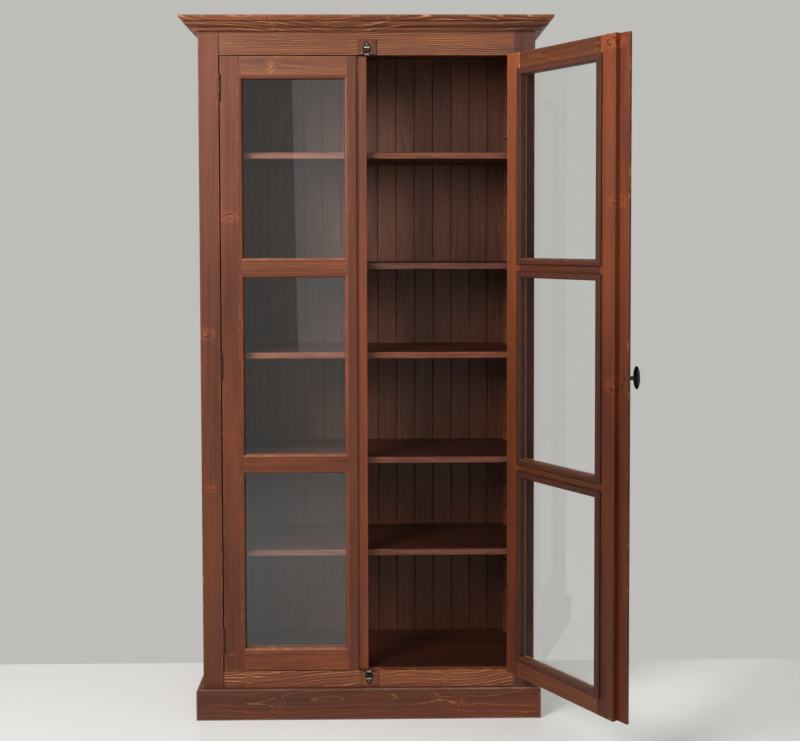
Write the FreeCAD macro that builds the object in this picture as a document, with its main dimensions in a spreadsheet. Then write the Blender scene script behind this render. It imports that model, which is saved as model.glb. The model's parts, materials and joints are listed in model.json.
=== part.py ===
import FreeCAD, Part
import math
import os
import re
import Sketcher

# Glazed two-door bookcase, in millimetres and degrees.
# Origin: on the floor, at the middle of the back edge. Front faces -Y, up is +Z.

SIZES = {
    # Whole carcass
    "overall_height": 2000,
    "body_width": 952,
    "body_depth": 350,
    "edge_round": 1.2,
    # Corner posts and side panels
    "post_width": 58,
    "post_depth": 30,
    "side_thickness": 20,
    "side_tongue_length": 8,
    "side_tongue_thickness": 8,
    # Rails above and below the doors
    "frieze_height": 90.5,
    "bottom_rail_height": 44.5,
    "bottom_rail_hidden": 20,
    "rail_thickness": 22,
    "rail_setback": 1,
    "rail_tenon_length": 26,
    "rail_tenon_thickness": 10,
    "rail_tenon_shoulder": 8,
    # Floor and ceiling panels
    "panel_thickness": 18,
    "floor_rise": 2,
    "ceiling_rise": 41.5,
    # Tongue-and-groove back
    "back_thickness": 12,
    "back_inset": 3,
    "back_rebate_width": 10,
    "plank_width": 57.4,
    "plank_bevel": 2.4,
    "plank_tongue_length": 6,
    "plank_tongue_thickness": 4,
    "plank_clearance": 0.3,
    # Cornice
    "top_board_thickness": 14,
    "top_board_overhang": 47.2,
    "top_board_round": 2.5,
    "top_board_bevel": 8,
    "crown_foot": 14,
    "crown_foot_height": 1.6,
    "crown_cove": 6,
    "crown_step": 2,
    "crown_step_height": 1.5,
    "crown_ovolo": 12,
    "crown_quirk": 4,
    "crown_quirk_height": 3,
    # Plinth
    "plinth_height": 90,
    "plinth_thickness": 18,
    "plinth_round": 8,
    # Shelf racks and cleats
    "rack_width": 36,
    "rack_depth": 30,
    "rack_notch_spacing": 82,
    "rack_end_margin": 63.4,
    "notch_height": 13,
    "notch_depth": 12,
    "cleat_height": 12.6,
    "cleat_side_clearance": 1,
    "cleat_end_clearance": 0.5,
    "fixed_cleat_width": 18,
    "fixed_cleat_height": 24,
    # Shelves
    "shelf_thickness": 18,
    "shelf_setback": 14,
    "shelf_clearance": 1.5,
    "shelf_round": 2.5,
    "fixed_shelf_drop": 5,
    # Doors
    "door_thickness": 25,
    "door_side_gap": 2.5,
    "door_end_gap": 3,
    "meeting_gap": 4,
    "stile_width": 53,
    "end_rail_width": 53,
    "mid_rail_width": 34,
    "door_tenon_length": 30,
    "door_tenon_thickness": 8,
    "door_tenon_shoulder": 9,
    "lip_width": 32,
    "lip_thickness": 8,
    "lip_clearance": 0.5,
    "lip_end_gap": 1,
    "door_open_angle": 124.5,
    # Glazing
    "moulding_width": 10.5,
    "moulding_depth": 13,
    "moulding_setback": 1,
    "moulding_flat": 1.5,
    "glass_thickness": 4,
    "glass_clearance": 1.5,
    "rebate_overlap": 8,
    "bead_proud": 7,
    "bead_bevel": 2.5,
    # Butt hinges
    "hinge_length": 72,
    "hinge_inset": 87,
    "hinge_axis_offset": 3.4,
    "hinge_barrel_radius": 3.1,
    "hinge_leaf_thickness": 1.05,
    "hinge_leaf_depth": 18,
    "knuckle_gap": 0.3,
    "hinge_pin_radius": 1.5,
    "hinge_pin_clearance": 0.05,
    "hinge_cap_radius": 2.6,
    "hinge_screw_spacing": 24,
    "hinge_screw_length": 14,
    "hinge_screw_radius": 1.3,
    "hinge_screw_head": 2.35,
    # Catch blocks and catches
    "catch_block_width": 54,
    "catch_block_height": 43,
    "catch_block_depth": 16,
    "catch_block_proud": 4,
    "catch_plate_foot": 34,
    "catch_plate_foot_height": 4,
    "catch_plate_waist": 23,
    "catch_plate_waist_height": 14,
    "catch_plate_height": 38,
    "catch_plate_thickness": 2,
    "catch_plate_margin": 0.3,
    "catch_pocket_width": 21,
    "catch_pocket_height": 20,
    "catch_pocket_depth": 12,
    "catch_pocket_clearance": 0.2,
    "catch_shell_wall": 1.2,
    "catch_screw_radius": 1.3,
    "catch_screw_length": 11,
    "catch_screw_head": 2.2,
    "catch_screw_head_height": 1.2,
    "catch_screw_low": 4.6,
    "catch_screw_high": 29,
    "fork_clearance": 0.4,
    "fork_cheek": 1.5,
    "fork_bridge": 3,
    "fork_bridge_height": 9,
    "fork_cheek_depth": 7,
    "roller_radius": 4.5,
    "roller_depth": 5,
    "roller_side_gap": 0.3,
    "roller_clearance": 0.3,
    "journal_radius": 1.3,
    "journal_clearance": 0.05,
    "spring_radius": 3.2,
    "spring_wall": 0.9,
    # Strike plates
    "strike_length": 24,
    "strike_thickness": 0.7,
    "strike_margin": 0.5,
    # Knob
    "knob_height": 1021,
    "knob_edge_distance": 14,
    "knob_projection": 37,
    "knob_length": 60,
    "knob_width": 24,
    "knob_thickness": 12,
    "knob_rim_share": 0.8,
    "knob_stem_radius": 4.6,
    "knob_stem_foot": 6.2,
    "knob_clearance": 0.1,
    "backplate_length": 53,
    "backplate_width": 22,
    "backplate_height": 3,
    "knob_screw_radius": 2,
    "knob_screw_head": 4,
    "knob_screw_head_height": 2.2,
    "knob_screw_length": 24,
}

# The bays that the rails of a door make, the heights of the adjustable shelves up the racks,
# and the narrowest ripped plank beside a whole one
BAYS = range(3)
ADJUSTABLE_SHELF_SHARES = {"lower_shelf": 0.15, "middle_shelf": 0.5, "upper_shelf": 0.85}
RIPPED_PLANK_SHARE = 0.25

os.makedirs("parts", exist_ok=True)
doc = FreeCAD.newDocument("glazed_bookcase")
sheet = doc.addObject("Spreadsheet::Sheet", "Sizes")
for row, (alias, number) in enumerate(SIZES.items(), start=1):
    sheet.set(f"A{row}", alias)
    sheet.set(f"B{row}", str(number))
    sheet.setAlias(f"B{row}", alias)
doc.recompute()

ALIASES = re.compile(r"\b(" + "|".join(SIZES) + r")\b")
ORIGINS = {}
NODES = []

# Places that several pieces share, as expressions of the sizes
HALF = "body_width / 2"
FRONT = "-body_depth"
INNER = f"({HALF} - side_thickness)"
OPENING = f"({HALF} - post_width)"
CARCASS_TOP = "(overall_height - top_board_thickness)"
OPENING_TOP = f"({CARCASS_TOP} - frieze_height)"
OPENING_LOW = "(plinth_height + bottom_rail_height)"
RAIL_FRONT = f"({FRONT} + rail_setback)"
RAIL_BACK = f"({RAIL_FRONT} + rail_thickness)"
BACK_FACE = "-(back_inset + back_thickness)"
FLOOR_TOP = f"({OPENING_LOW} + floor_rise)"
CEILING = f"({OPENING_TOP} + ceiling_rise)"
CROWN_COVE_TOP = "(crown_foot_height + crown_cove)"
CROWN_OVOLO_LOW = f"({CROWN_COVE_TOP} + crown_step_height)"
CROWN_OVOLO_TOP = f"({CROWN_OVOLO_LOW} + crown_ovolo)"
CROWN_UP = f"({CROWN_OVOLO_TOP} + crown_quirk_height)"
CROWN_OUT = "(crown_foot + crown_cove + crown_step + crown_ovolo)"
RACK_FRONT_BACK = f"({FRONT} + post_depth + rack_depth)"
RACK_REAR_FRONT = f"({BACK_FACE} - rack_depth)"
RAIL_SPANS = {
    "frieze_rail": (OPENING_TOP, CARCASS_TOP),
    "bottom_rail": ("(plinth_height - bottom_rail_hidden)", OPENING_LOW),
}
CATCH_SPANS = {
    "frieze_rail": (OPENING_TOP, f"{OPENING_TOP} + catch_block_height"),
    "bottom_rail": (f"{OPENING_LOW} - catch_block_height", OPENING_LOW),
}
FIXED_SHELF_BAYS = {"lower_fixed_shelf": 1, "upper_fixed_shelf": 2}
RACK_SPARE = f"({CEILING} - {FLOOR_TOP} - rack_end_margin * 2 - notch_height)"
NOTCH_COUNT = f"(floor({RACK_SPARE} / rack_notch_spacing) + 1)"
BACK_HALF = f"({INNER} + back_rebate_width)"
PLANK_PAIRS = f"floor({BACK_HALF} / plank_width - {RIPPED_PLANK_SHARE} - 1 / 2)"
PLANK_COUNT = f"({PLANK_PAIRS} * 2 + 1)"

# Door places, measured from a hinge axis toward the meeting stiles
HINGE_X = f"({OPENING} - door_side_gap / 2)"
HINGE_Y = f"({FRONT} - hinge_axis_offset)"
DOOR_WIDTH = f"(({OPENING} * 2 - door_side_gap * 2 - meeting_gap) / 2)"
DOOR_LOW = f"({OPENING_LOW} + door_end_gap)"
DOOR_TOP = f"({OPENING_TOP} - door_end_gap)"
DOOR_EDGE = "door_side_gap / 2"
DOOR_FREE = f"({DOOR_EDGE} + {DOOR_WIDTH})"
DOOR_MIDDLE = f"({DOOR_EDGE} + {DOOR_WIDTH} / 2)"
DOOR_FACE = "hinge_axis_offset"
DOOR_BACK = "(hinge_axis_offset + door_thickness)"
GLASS_FACE = "(hinge_axis_offset + moulding_depth)"
BEAD_FACE = "(moulding_depth + glass_thickness)"
BEAD_TOP = "(door_thickness + bead_proud)"
BAY_WIDTH = f"({DOOR_WIDTH} - stile_width * 2)"
BAY_HEIGHT = f"(({DOOR_TOP} - {DOOR_LOW} - end_rail_width * 2 - mid_rail_width * 2) / 3)"
TENON_FACE = "(hinge_axis_offset + (door_thickness - door_tenon_thickness) / 2)"
REBATED_WIDTH = f"({BAY_WIDTH} + rebate_overlap * 2)"
REBATED_HEIGHT = f"({BAY_HEIGHT} + rebate_overlap * 2)"
BEAD_WIDTH = "(rebate_overlap + moulding_width)"
HINGE_HEIGHTS = (
    f"({DOOR_LOW} + hinge_inset)",
    f"(({DOOR_LOW} + {DOOR_TOP}) / 2)",
    f"({DOOR_TOP} - hinge_inset)",
)

# Catch places, measured from the middle of a block's face at the door opening's edge
CATCH_Y = f"({RAIL_FRONT} - catch_block_proud)"
CAVITY_HALF = "(catch_pocket_width / 2 - catch_pocket_clearance - catch_shell_wall)"
CAVITY_TOP = "(catch_pocket_height - catch_pocket_clearance - catch_shell_wall)"
CAVITY_BACK = "(catch_pocket_depth - catch_pocket_clearance - catch_shell_wall)"
FORK_HALF = f"({CAVITY_HALF} - fork_clearance)"
FORK_TOP = "(fork_bridge_height + fork_bridge)"
ROLLER_HALF = f"({FORK_HALF} - fork_cheek - roller_side_gap)"
ROLLER_Z = "(roller_radius - door_end_gap + strike_thickness + roller_clearance)"


def bay_low(bay):
    """Return the height of a bay's lower edge, counted from the bottom of the door."""
    return f"({DOOR_LOW} + end_rail_width + {bay} * ({BAY_HEIGHT} + mid_rail_width))"


def notch_low(share):
    """Return the height of the lower edge of the rack notch nearest to a share of the way up."""
    return f"({FLOOR_TOP} + rack_end_margin + round({share} * ({NOTCH_COUNT} - 1)) * rack_notch_spacing)"


def fixed_shelf_top(bay):
    """Return the height of a fixed shelf's top, a little under the top of the door rail below a bay."""
    return f"({bay_low(bay)} - fixed_shelf_drop)"


def bound(text):
    """Return an expression with each size's name pointing at its cell."""
    return ALIASES.sub(r"Sizes.\1", str(text))


def value(text):
    """Return the number that an expression comes to."""
    result = sheet.evalExpression(bound(text))
    return float(getattr(result, "Value", result))


def place(item, x, y, z, turn="0", axis="0; 0; 1"):
    """Bind an object's Placement to a point and a turn about an axis."""
    point = bound(f"{x}; {y}; {z}")
    item.setExpression("Placement", f"placement(vector({point}); rotation(vector({axis}); {bound(turn)}))")


def new_body(label, x="0", y="0", z="0"):
    """Return an empty body placed at a point; its features are given in the part's own frame."""
    body = doc.addObject("PartDesign::Body", label)
    body.Label = label
    place(body, x, y, z)
    ORIGINS[body.Name] = (x, y, z)
    return body


def finished(item):
    """Note that an object is a sub-part of its own, and return it."""
    NODES.append(item)
    return item


def locate(feature, body, point):
    """Bind a feature's base to a point of the part's frame, measured from its body's origin."""
    for axis, here, origin in zip("xyz", point, ORIGINS[body.Name]):
        feature.setExpression(f"Placement.Base.{axis}", bound(f"({here}) - ({origin})"))


def block(body, x, y, z, cut=False):
    """Add or cut a box between pairs of limits."""
    kind = "SubtractiveBox" if cut else "AdditiveBox"
    box = body.newObject("PartDesign::" + kind, body.Name + "_block")
    for size, (low, high) in zip(("Length", "Width", "Height"), (x, y, z)):
        box.setExpression(size, bound(f"({high}) - ({low})"))
    locate(box, body, (x[0], y[0], z[0]))
    return box


TURNS = {
    "z": FreeCAD.Rotation(),
    "x": FreeCAD.Rotation(FreeCAD.Vector(0, 1, 0), 90),
    "-x": FreeCAD.Rotation(FreeCAD.Vector(0, 1, 0), -90),
    "y": FreeCAD.Rotation(FreeCAD.Vector(1, 0, 0), -90),
    "-y": FreeCAD.Rotation(FreeCAD.Vector(1, 0, 0), 90),
}


def rod(body, point, direction, length, radius, cut=False):
    """Add or cut a cylinder that starts at a point and runs in a direction."""
    kind = "SubtractiveCylinder" if cut else "AdditiveCylinder"
    cylinder = body.newObject("PartDesign::" + kind, body.Name + "_rod")
    cylinder.setExpression("Radius", bound(radius))
    cylinder.setExpression("Height", bound(length))
    cylinder.Placement = FreeCAD.Placement(FreeCAD.Vector(), TURNS[direction])
    locate(cylinder, body, point)
    return cylinder


def taper(body, point, direction, length, near, far, cut=False):
    """Add or cut a cone between a near and a far radius."""
    kind = "SubtractiveCone" if cut else "AdditiveCone"
    cone = body.newObject("PartDesign::" + kind, body.Name + "_taper")
    cone.setExpression("Radius1", bound(near))
    cone.setExpression("Radius2", bound(far))
    cone.setExpression("Height", bound(length))
    cone.Placement = FreeCAD.Placement(FreeCAD.Vector(), TURNS[direction])
    locate(cone, body, point)
    return cone


def oval(body, point, x, y, z):
    """Add an ellipsoid of three half-lengths about a point."""
    ball = body.newObject("PartDesign::AdditiveEllipsoid", body.Name + "_oval")
    ball.setExpression("Radius2", bound(x))
    ball.setExpression("Radius3", bound(y))
    ball.setExpression("Radius1", bound(z))
    locate(ball, body, point)
    return ball


def outline(body, plane, points, centres=None):
    """Draw a closed, fully dimensioned sketch on one of a body's origin planes.

    points holds pairs of expressions. centres gives the centre of the arc that leaves a point,
    by the point's number; the other stretches are straight.
    """
    centres = centres or {}
    sketch = body.newObject("Sketcher::SketchObject", body.Name + "_sketch")
    support = next(f for f in body.Origin.OriginFeatures if f.Role == plane)
    sketch.AttachmentSupport = (support, [""])
    sketch.MapMode = "FlatFace"
    spots = [FreeCAD.Vector(value(u), value(v), 0) for u, v in points]
    ends = []
    for number, spot in enumerate(spots):
        following = spots[(number + 1) % len(spots)]
        if number in centres:
            middle = FreeCAD.Vector(value(centres[number][0]), value(centres[number][1]), 0)
            first, second = spot - middle, following - middle
            forward = first.cross(second).z > 0
            start, stop = (first, second) if forward else (second, first)
            circle = Part.Circle(middle, FreeCAD.Vector(0, 0, 1), first.Length)
            angles = [math.atan2(ray.y, ray.x) for ray in (start, stop)]
            sketch.addGeometry(Part.ArcOfCircle(circle, *angles), False)
            ends.append((1, 2) if forward else (2, 1))
        else:
            sketch.addGeometry(Part.LineSegment(spot, following), False)
            ends.append((1, 2))

    def dimension(kind, geometry, vertex, text, name):
        """Fix one coordinate of a sketch point by an expression."""
        number = sketch.addConstraint(Sketcher.Constraint(kind, -1, 1, geometry, vertex, value(text)))
        sketch.renameConstraint(number, name)
        sketch.setExpression(".Constraints." + name, bound(f"({text}) * 1 mm"))

    for number, (u, v) in enumerate(points):
        after = (number + 1) % len(points)
        joint = Sketcher.Constraint("Coincident", number, ends[number][1], after, ends[after][0])
        sketch.addConstraint(joint)
        dimension("DistanceX", number, ends[number][0], u, f"point_{number}_u")
        dimension("DistanceY", number, ends[number][0], v, f"point_{number}_v")
        if number in centres:
            dimension("DistanceX", number, 3, centres[number][0], f"centre_{number}_u")
    return sketch


def extrude(body, sketch, length, midplane=False, reverse=False):
    """Pad a sketch along its normal."""
    pad = body.newObject("PartDesign::Pad", body.Name + "_pad")
    pad.Profile = sketch
    pad.setExpression("Length", bound(length))
    pad.Midplane = midplane
    pad.Reversed = reverse
    return pad


def cut_through(body, sketch):
    """Cut a sketch through the whole body, both ways."""
    pocket = body.newObject("PartDesign::Pocket", body.Name + "_pocket")
    pocket.Profile = sketch
    pocket.Type = "ThroughAll"
    pocket.Midplane = True
    return pocket


def ease(body, size, *choices, bevel=False):
    """Round or bevel the straight edges that run along an axis on the named sides of the body's box."""
    doc.recompute()
    base = body.Tip
    shape = base.Shape
    box = shape.BoundBox
    limits = {"-x": box.XMin, "+x": box.XMax, "-y": box.YMin, "+y": box.YMax, "-z": box.ZMin, "+z": box.ZMax}
    tolerance = value("edge_round") / 100
    chosen = []
    for number, edge in enumerate(shape.Edges, start=1):
        start, stop = edge.Vertexes[0].Point, edge.Vertexes[-1].Point
        run = stop - start
        for along, *sides in choices:
            straight = abs(getattr(run, along)) > run.Length - tolerance
            reach = [abs(getattr(spot, side[1]) - limits[side]) for spot in (start, stop) for side in sides]
            if straight and max(reach) < tolerance and f"Edge{number}" not in chosen:
                chosen.append(f"Edge{number}")
    kind, length = ("Chamfer", "Size") if bevel else ("Fillet", "Radius")
    eased = body.newObject("PartDesign::" + kind, body.Name + "_" + kind.lower())
    eased.Base = (base, chosen)
    eased.setExpression(length, bound(size))
    return eased


def mirrored(label, source):
    """Return the left-hand twin of a right-hand piece."""
    twin = doc.addObject("Part::Mirroring", label)
    twin.Label = label
    twin.Source = source
    twin.Normal = FreeCAD.Vector(1, 0, 0)
    return finished(twin)


def copies(label, places):
    """Return one node that holds copies of bodies, each a separate solid at its own place."""
    links = []
    for number, (body, *where) in enumerate(places):
        link = doc.addObject("App::Link", f"{label}_copy_{number}")
        link.LinkedObject = body
        place(link, *where)
        links.append(link)
    group = doc.addObject("Part::Compound", label)
    group.Label = label
    group.Links = links
    return finished(group)


def hang(item, side):
    """Put a piece that is drawn about a hinge axis on the left or the right door."""
    if side == "left":
        place(item, f"-{HINGE_X}", HINGE_Y, "0")
    else:
        place(item, HINGE_X, HINGE_Y, "0", "door_open_angle")
    return item


def across(side, near, far):
    """Return the limits of a span measured from a hinge axis, turned over on the right door."""
    if side == "left":
        return (near, far)
    return (f"-({far})", f"-({near})")


def about(half):
    """Return the limits of a span centred on zero."""
    return (f"-({half})", half)


FLIP = ("180", "0; 1; 0")


def board(label, x, y, z):
    """Return a board between limits, as a body placed at its own low corner."""
    body = new_body(label, x[0], y[0], z[0])
    block(body, x, y, z)
    return body


# Corner posts, with a groove for the side panel and mortises for the rails
def make_posts():
    post = board("right_front_post", (OPENING, HALF), (FRONT, f"{FRONT} + post_depth"), ("0", CARCASS_TOP))
    middle = f"({HALF} - side_thickness / 2)"
    block(
        post,
        (f"{middle} - side_tongue_thickness / 2", f"{middle} + side_tongue_thickness / 2"),
        (f"{FRONT} + post_depth - side_tongue_length", f"{FRONT} + post_depth"),
        ("0", CARCASS_TOP),
        cut=True,
    )
    for low, high in RAIL_SPANS.values():
        block(post, *tenon_limits(low, high), cut=True)
    ease(post, "edge_round", ("z", "-y"))
    finished(post)
    mirrored("left_front_post", post)


def tenon_limits(low, high):
    """Return the limits of the right-hand tenon of a carcass rail."""
    face = f"({RAIL_FRONT} + (rail_thickness - rail_tenon_thickness) / 2)"
    return (
        (OPENING, f"{OPENING} + rail_tenon_length"),
        (face, f"{face} + rail_tenon_thickness"),
        (f"{low} + rail_tenon_shoulder", f"{high} - rail_tenon_shoulder"),
    )


# Side panels, tongued into the posts and rebated for the back
def make_side_panels():
    panel = board("right_side_panel", (INNER, HALF), (f"{FRONT} + post_depth", "0"), ("0", CARCASS_TOP))
    middle = f"({HALF} - side_thickness / 2)"
    block(
        panel,
        (f"{middle} - side_tongue_thickness / 2", f"{middle} + side_tongue_thickness / 2"),
        (f"{FRONT} + post_depth - side_tongue_length", f"{FRONT} + post_depth"),
        ("0", CARCASS_TOP),
    )
    block(
        panel,
        (INNER, f"{INNER} + back_rebate_width"),
        (BACK_FACE, "0"),
        ("plinth_height", CARCASS_TOP),
        cut=True,
    )
    finished(panel)
    mirrored("left_side_panel", panel)


# Frieze rail and bottom rail, tenoned into the posts and notched for the catch blocks
def make_rails():
    for label, (low, high) in RAIL_SPANS.items():
        rail = board(label, about(OPENING), (RAIL_FRONT, RAIL_BACK), (low, high))
        x, y, z = tenon_limits(low, high)
        block(rail, x, y, z)
        block(rail, across("right", *x), y, z)
        block(
            rail,
            about("catch_block_width / 2"),
            (RAIL_FRONT, f"{CATCH_Y} + catch_block_depth"),
            CATCH_SPANS[label],
            cut=True,
        )
        finished(rail)


# Floor and ceiling panels, notched round the posts
def make_panels():
    lows = {"floor_panel": f"({FLOOR_TOP} - panel_thickness)", "inner_top_panel": CEILING}
    for label, low in lows.items():
        z = (low, f"{low} + panel_thickness")
        panel = board(label, about(INNER), (RAIL_BACK, BACK_FACE), z)
        for side in ("left", "right"):
            block(panel, across(side, OPENING, INNER), (RAIL_BACK, f"{FRONT} + post_depth"), z, cut=True)
        finished(panel)


# Tongue-and-groove back: equal planks from the middle, and one ripped plank at each side
def make_back():
    def plank(label, width, grooved, tongued):
        """Return an upright plank, drawn about the middle of its front face."""
        body = new_body(label)
        left, right = f"-({width}) / 2", f"({width}) / 2"
        depth = "back_thickness"
        near = "(back_thickness - plank_tongue_thickness) / 2"
        far = "(back_thickness + plank_tongue_thickness) / 2"
        points = [(f"{left} + plank_bevel", "0"), (f"{right} - plank_bevel", "0"), (right, "plank_bevel")]
        if tongued:
            tip = f"{right} + plank_tongue_length"
            points += [(right, near), (tip, near), (tip, far), (right, far)]
        points += [(right, depth), (left, depth)]
        if grooved:
            end = f"{left} + plank_tongue_length + plank_clearance"
            wide, narrow = f"{far} + plank_clearance", f"{near} - plank_clearance"
            points += [(left, wide), (end, wide), (end, narrow), (left, narrow)]
        points += [(left, "plank_bevel")]
        extrude(body, outline(body, "XY_Plane", points), f"{CARCASS_TOP} - plinth_height")
        return body

    ripped = f"({BACK_HALF} - plank_width * {PLANK_COUNT} / 2)"
    whole = plank("back_plank", "plank_width", True, True)
    first = plank("back_plank_left", ripped, False, True)
    last = plank("back_plank_right", ripped, True, False)
    places = [(first, f"{ripped} / 2 - {BACK_HALF}", BACK_FACE, "plinth_height")]
    for number in range(round(value(PLANK_COUNT))):
        x = f"({number} - {PLANK_PAIRS}) * plank_width"
        places.append((whole, x, BACK_FACE, "plinth_height"))
    places.append((last, f"{BACK_HALF} - {ripped} / 2", BACK_FACE, "plinth_height"))
    copies("back_boards", places)


# Cornice: nosed top board over a mitred crown moulding
def make_cornice():
    reach = f"({HALF} + top_board_overhang)"
    depth = (f"{FRONT} - top_board_overhang", "0")
    top = board("cornice_top_board", about(reach), depth, (CARCASS_TOP, "overall_height"))
    ease(top, "top_board_bevel", ("x", "-y", "-z"), ("y", "-x", "-z"), ("y", "+x", "-z"), bevel=True)
    ease(top, "top_board_round", ("x", "-y", "+z"), ("y", "-x", "+z"), ("y", "+x", "+z"))
    finished(top)

    def crown_profile(out):
        """Return the crown's corners, with its projection measured along a signed axis."""
        hollow, belly = f"{out} (crown_foot + crown_cove)", f"{out} ({CROWN_OUT} - crown_ovolo)"
        return [
            ("0", "0"),
            (f"{out} crown_foot", "0"),
            (f"{out} crown_foot", "crown_foot_height"),
            (hollow, CROWN_COVE_TOP),
            (hollow, CROWN_OVOLO_LOW),
            (belly, CROWN_OVOLO_LOW),
            (f"{out} {CROWN_OUT}", CROWN_OVOLO_TOP),
            (f"{out} ({CROWN_OUT} - crown_quirk)", CROWN_OVOLO_TOP),
            (f"{out} ({CROWN_OUT} - crown_quirk)", CROWN_UP),
            ("0", CROWN_UP),
        ], {2: (hollow, "crown_foot_height"), 5: (belly, CROWN_OVOLO_TOP)}

    low = f"{CARCASS_TOP} - {CROWN_UP}"
    mitred_front("crown_front", crown_profile("-1 *"), CROWN_OUT, low)
    mitred_return("crown", crown_profile("1 *"), CROWN_OUT, low)


def mitred_front(label, profile, out, low):
    """Return a moulding along the front whose ends are mitred at the corners of the body."""
    body = new_body(label, "0", FRONT, low)
    extrude(body, outline(body, "YZ_Plane", *profile), f"body_width + {out} * 2", midplane=True)
    for sign in ("1", "-1"):
        corner, tip = f"{sign} * {HALF}", f"{sign} * ({HALF} + {out})"
        cut_through(body, outline(body, "XY_Plane", [(corner, "0"), (tip, f"-{out}"), (tip, "0")]))
    return finished(body)


def mitred_return(label, profile, out, low):
    """Return the right-hand moulding along the side, mitred at the front, and its left-hand twin."""
    body = new_body(label + "_right", HALF, "0", low)
    extrude(body, outline(body, "XZ_Plane", *profile), f"body_depth + {out}")
    tip = f"-(body_depth + {out})"
    cut_through(body, outline(body, "XY_Plane", [("0", FRONT), ("0", tip), (out, tip)]))
    finished(body)
    mirrored(label + "_left", body)


# Plinth boards with a rounded top edge, and the plain board behind
def make_plinth():
    def plinth_profile(out):
        """Return a plinth board's corners, with its thickness measured along a signed axis."""
        return [
            ("0", "0"),
            (f"{out} plinth_thickness", "0"),
            (f"{out} plinth_thickness", "plinth_height - plinth_round"),
            (f"{out} (plinth_thickness - plinth_round)", "plinth_height"),
            ("0", "plinth_height"),
        ], {2: (f"{out} (plinth_thickness - plinth_round)", "plinth_height - plinth_round")}

    mitred_front("plinth_front", plinth_profile("-1 *"), "plinth_thickness", "0")
    mitred_return("plinth", plinth_profile("1 *"), "plinth_thickness", "0")
    finished(board("plinth_back", about(INNER), ("-plinth_thickness", "0"), ("0", "plinth_height")))


# Toothed racks in the four corners, and the cleats that carry the shelves
def make_racks():
    rack = new_body("shelf_rack")
    block(rack, about("rack_width / 2"), ("0", "rack_depth"), ("0", f"{CEILING} - {FLOOR_TOP}"))
    notch = block(
        rack,
        about("rack_width / 2"),
        ("0", "notch_depth"),
        ("rack_end_margin", "rack_end_margin + notch_height"),
        cut=True,
    )
    teeth = rack.newObject("PartDesign::LinearPattern", "rack_teeth")
    teeth.Originals = [notch]
    teeth.Direction = (next(f for f in rack.Origin.OriginFeatures if f.Role == "Z_Axis"), [""])
    teeth.setExpression("Occurrences", bound(NOTCH_COUNT))
    teeth.setExpression("Length", bound(f"({NOTCH_COUNT} - 1) * rack_notch_spacing"))
    rack.Tip = teeth
    middle = f"({INNER} - rack_width / 2)"
    places = []
    for sign in ("-1", "1"):
        places.append((rack, f"{sign} * {middle}", RACK_REAR_FRONT, FLOOR_TOP))
        places.append((rack, f"{sign} * {middle}", RACK_FRONT_BACK, FLOOR_TOP, "180"))
    copies("shelf_racks", places)

    loose = new_body("loose_cleat")
    block(
        loose,
        about("rack_width / 2 - cleat_side_clearance"),
        (
            f"{RACK_FRONT_BACK} - notch_depth + cleat_end_clearance",
            f"{RACK_REAR_FRONT} + notch_depth - cleat_end_clearance",
        ),
        ("0", "cleat_height"),
    )
    screwed = new_body("screwed_cleat")
    block(
        screwed,
        about("fixed_cleat_width / 2"),
        (f"{RACK_FRONT_BACK} + shelf_clearance", f"{RACK_REAR_FRONT} - shelf_clearance"),
        ("-fixed_cleat_height", "0"),
    )
    places = []
    for sign in ("-1", "1"):
        for share in ADJUSTABLE_SHELF_SHARES.values():
            places.append((loose, f"{sign} * {middle}", "0", notch_low(share)))
        for bay in FIXED_SHELF_BAYS.values():
            x = f"{sign} * ({INNER} - fixed_cleat_width / 2)"
            places.append((screwed, x, "0", f"{fixed_shelf_top(bay)} - shelf_thickness"))
    copies("shelf_cleats", places)


# Shelves with their corners cut out round the racks
def make_shelves():
    lows = {label: f"{notch_low(share)} + cleat_height" for label, share in ADJUSTABLE_SHELF_SHARES.items()}
    for label, bay in FIXED_SHELF_BAYS.items():
        lows[label] = f"{fixed_shelf_top(bay)} - shelf_thickness"
    near = f"({FRONT} + door_thickness + shelf_setback)"
    far = f"({BACK_FACE} - shelf_clearance)"
    edge = f"({INNER} - shelf_clearance)"
    neck = f"({INNER} - rack_width - shelf_clearance)"
    for label, low in lows.items():
        z = (low, f"{low} + shelf_thickness")
        shelf = board(label, about(edge), (near, far), z)
        for side in ("left", "right"):
            corner = across(side, neck, edge)
            block(shelf, corner, (near, f"{RACK_FRONT_BACK} + shelf_clearance"), z, cut=True)
            block(shelf, corner, (f"{RACK_REAR_FRONT} - shelf_clearance", far), z, cut=True)
        ease(shelf, "shelf_round", ("x", "-y"))
        finished(shelf)


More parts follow.
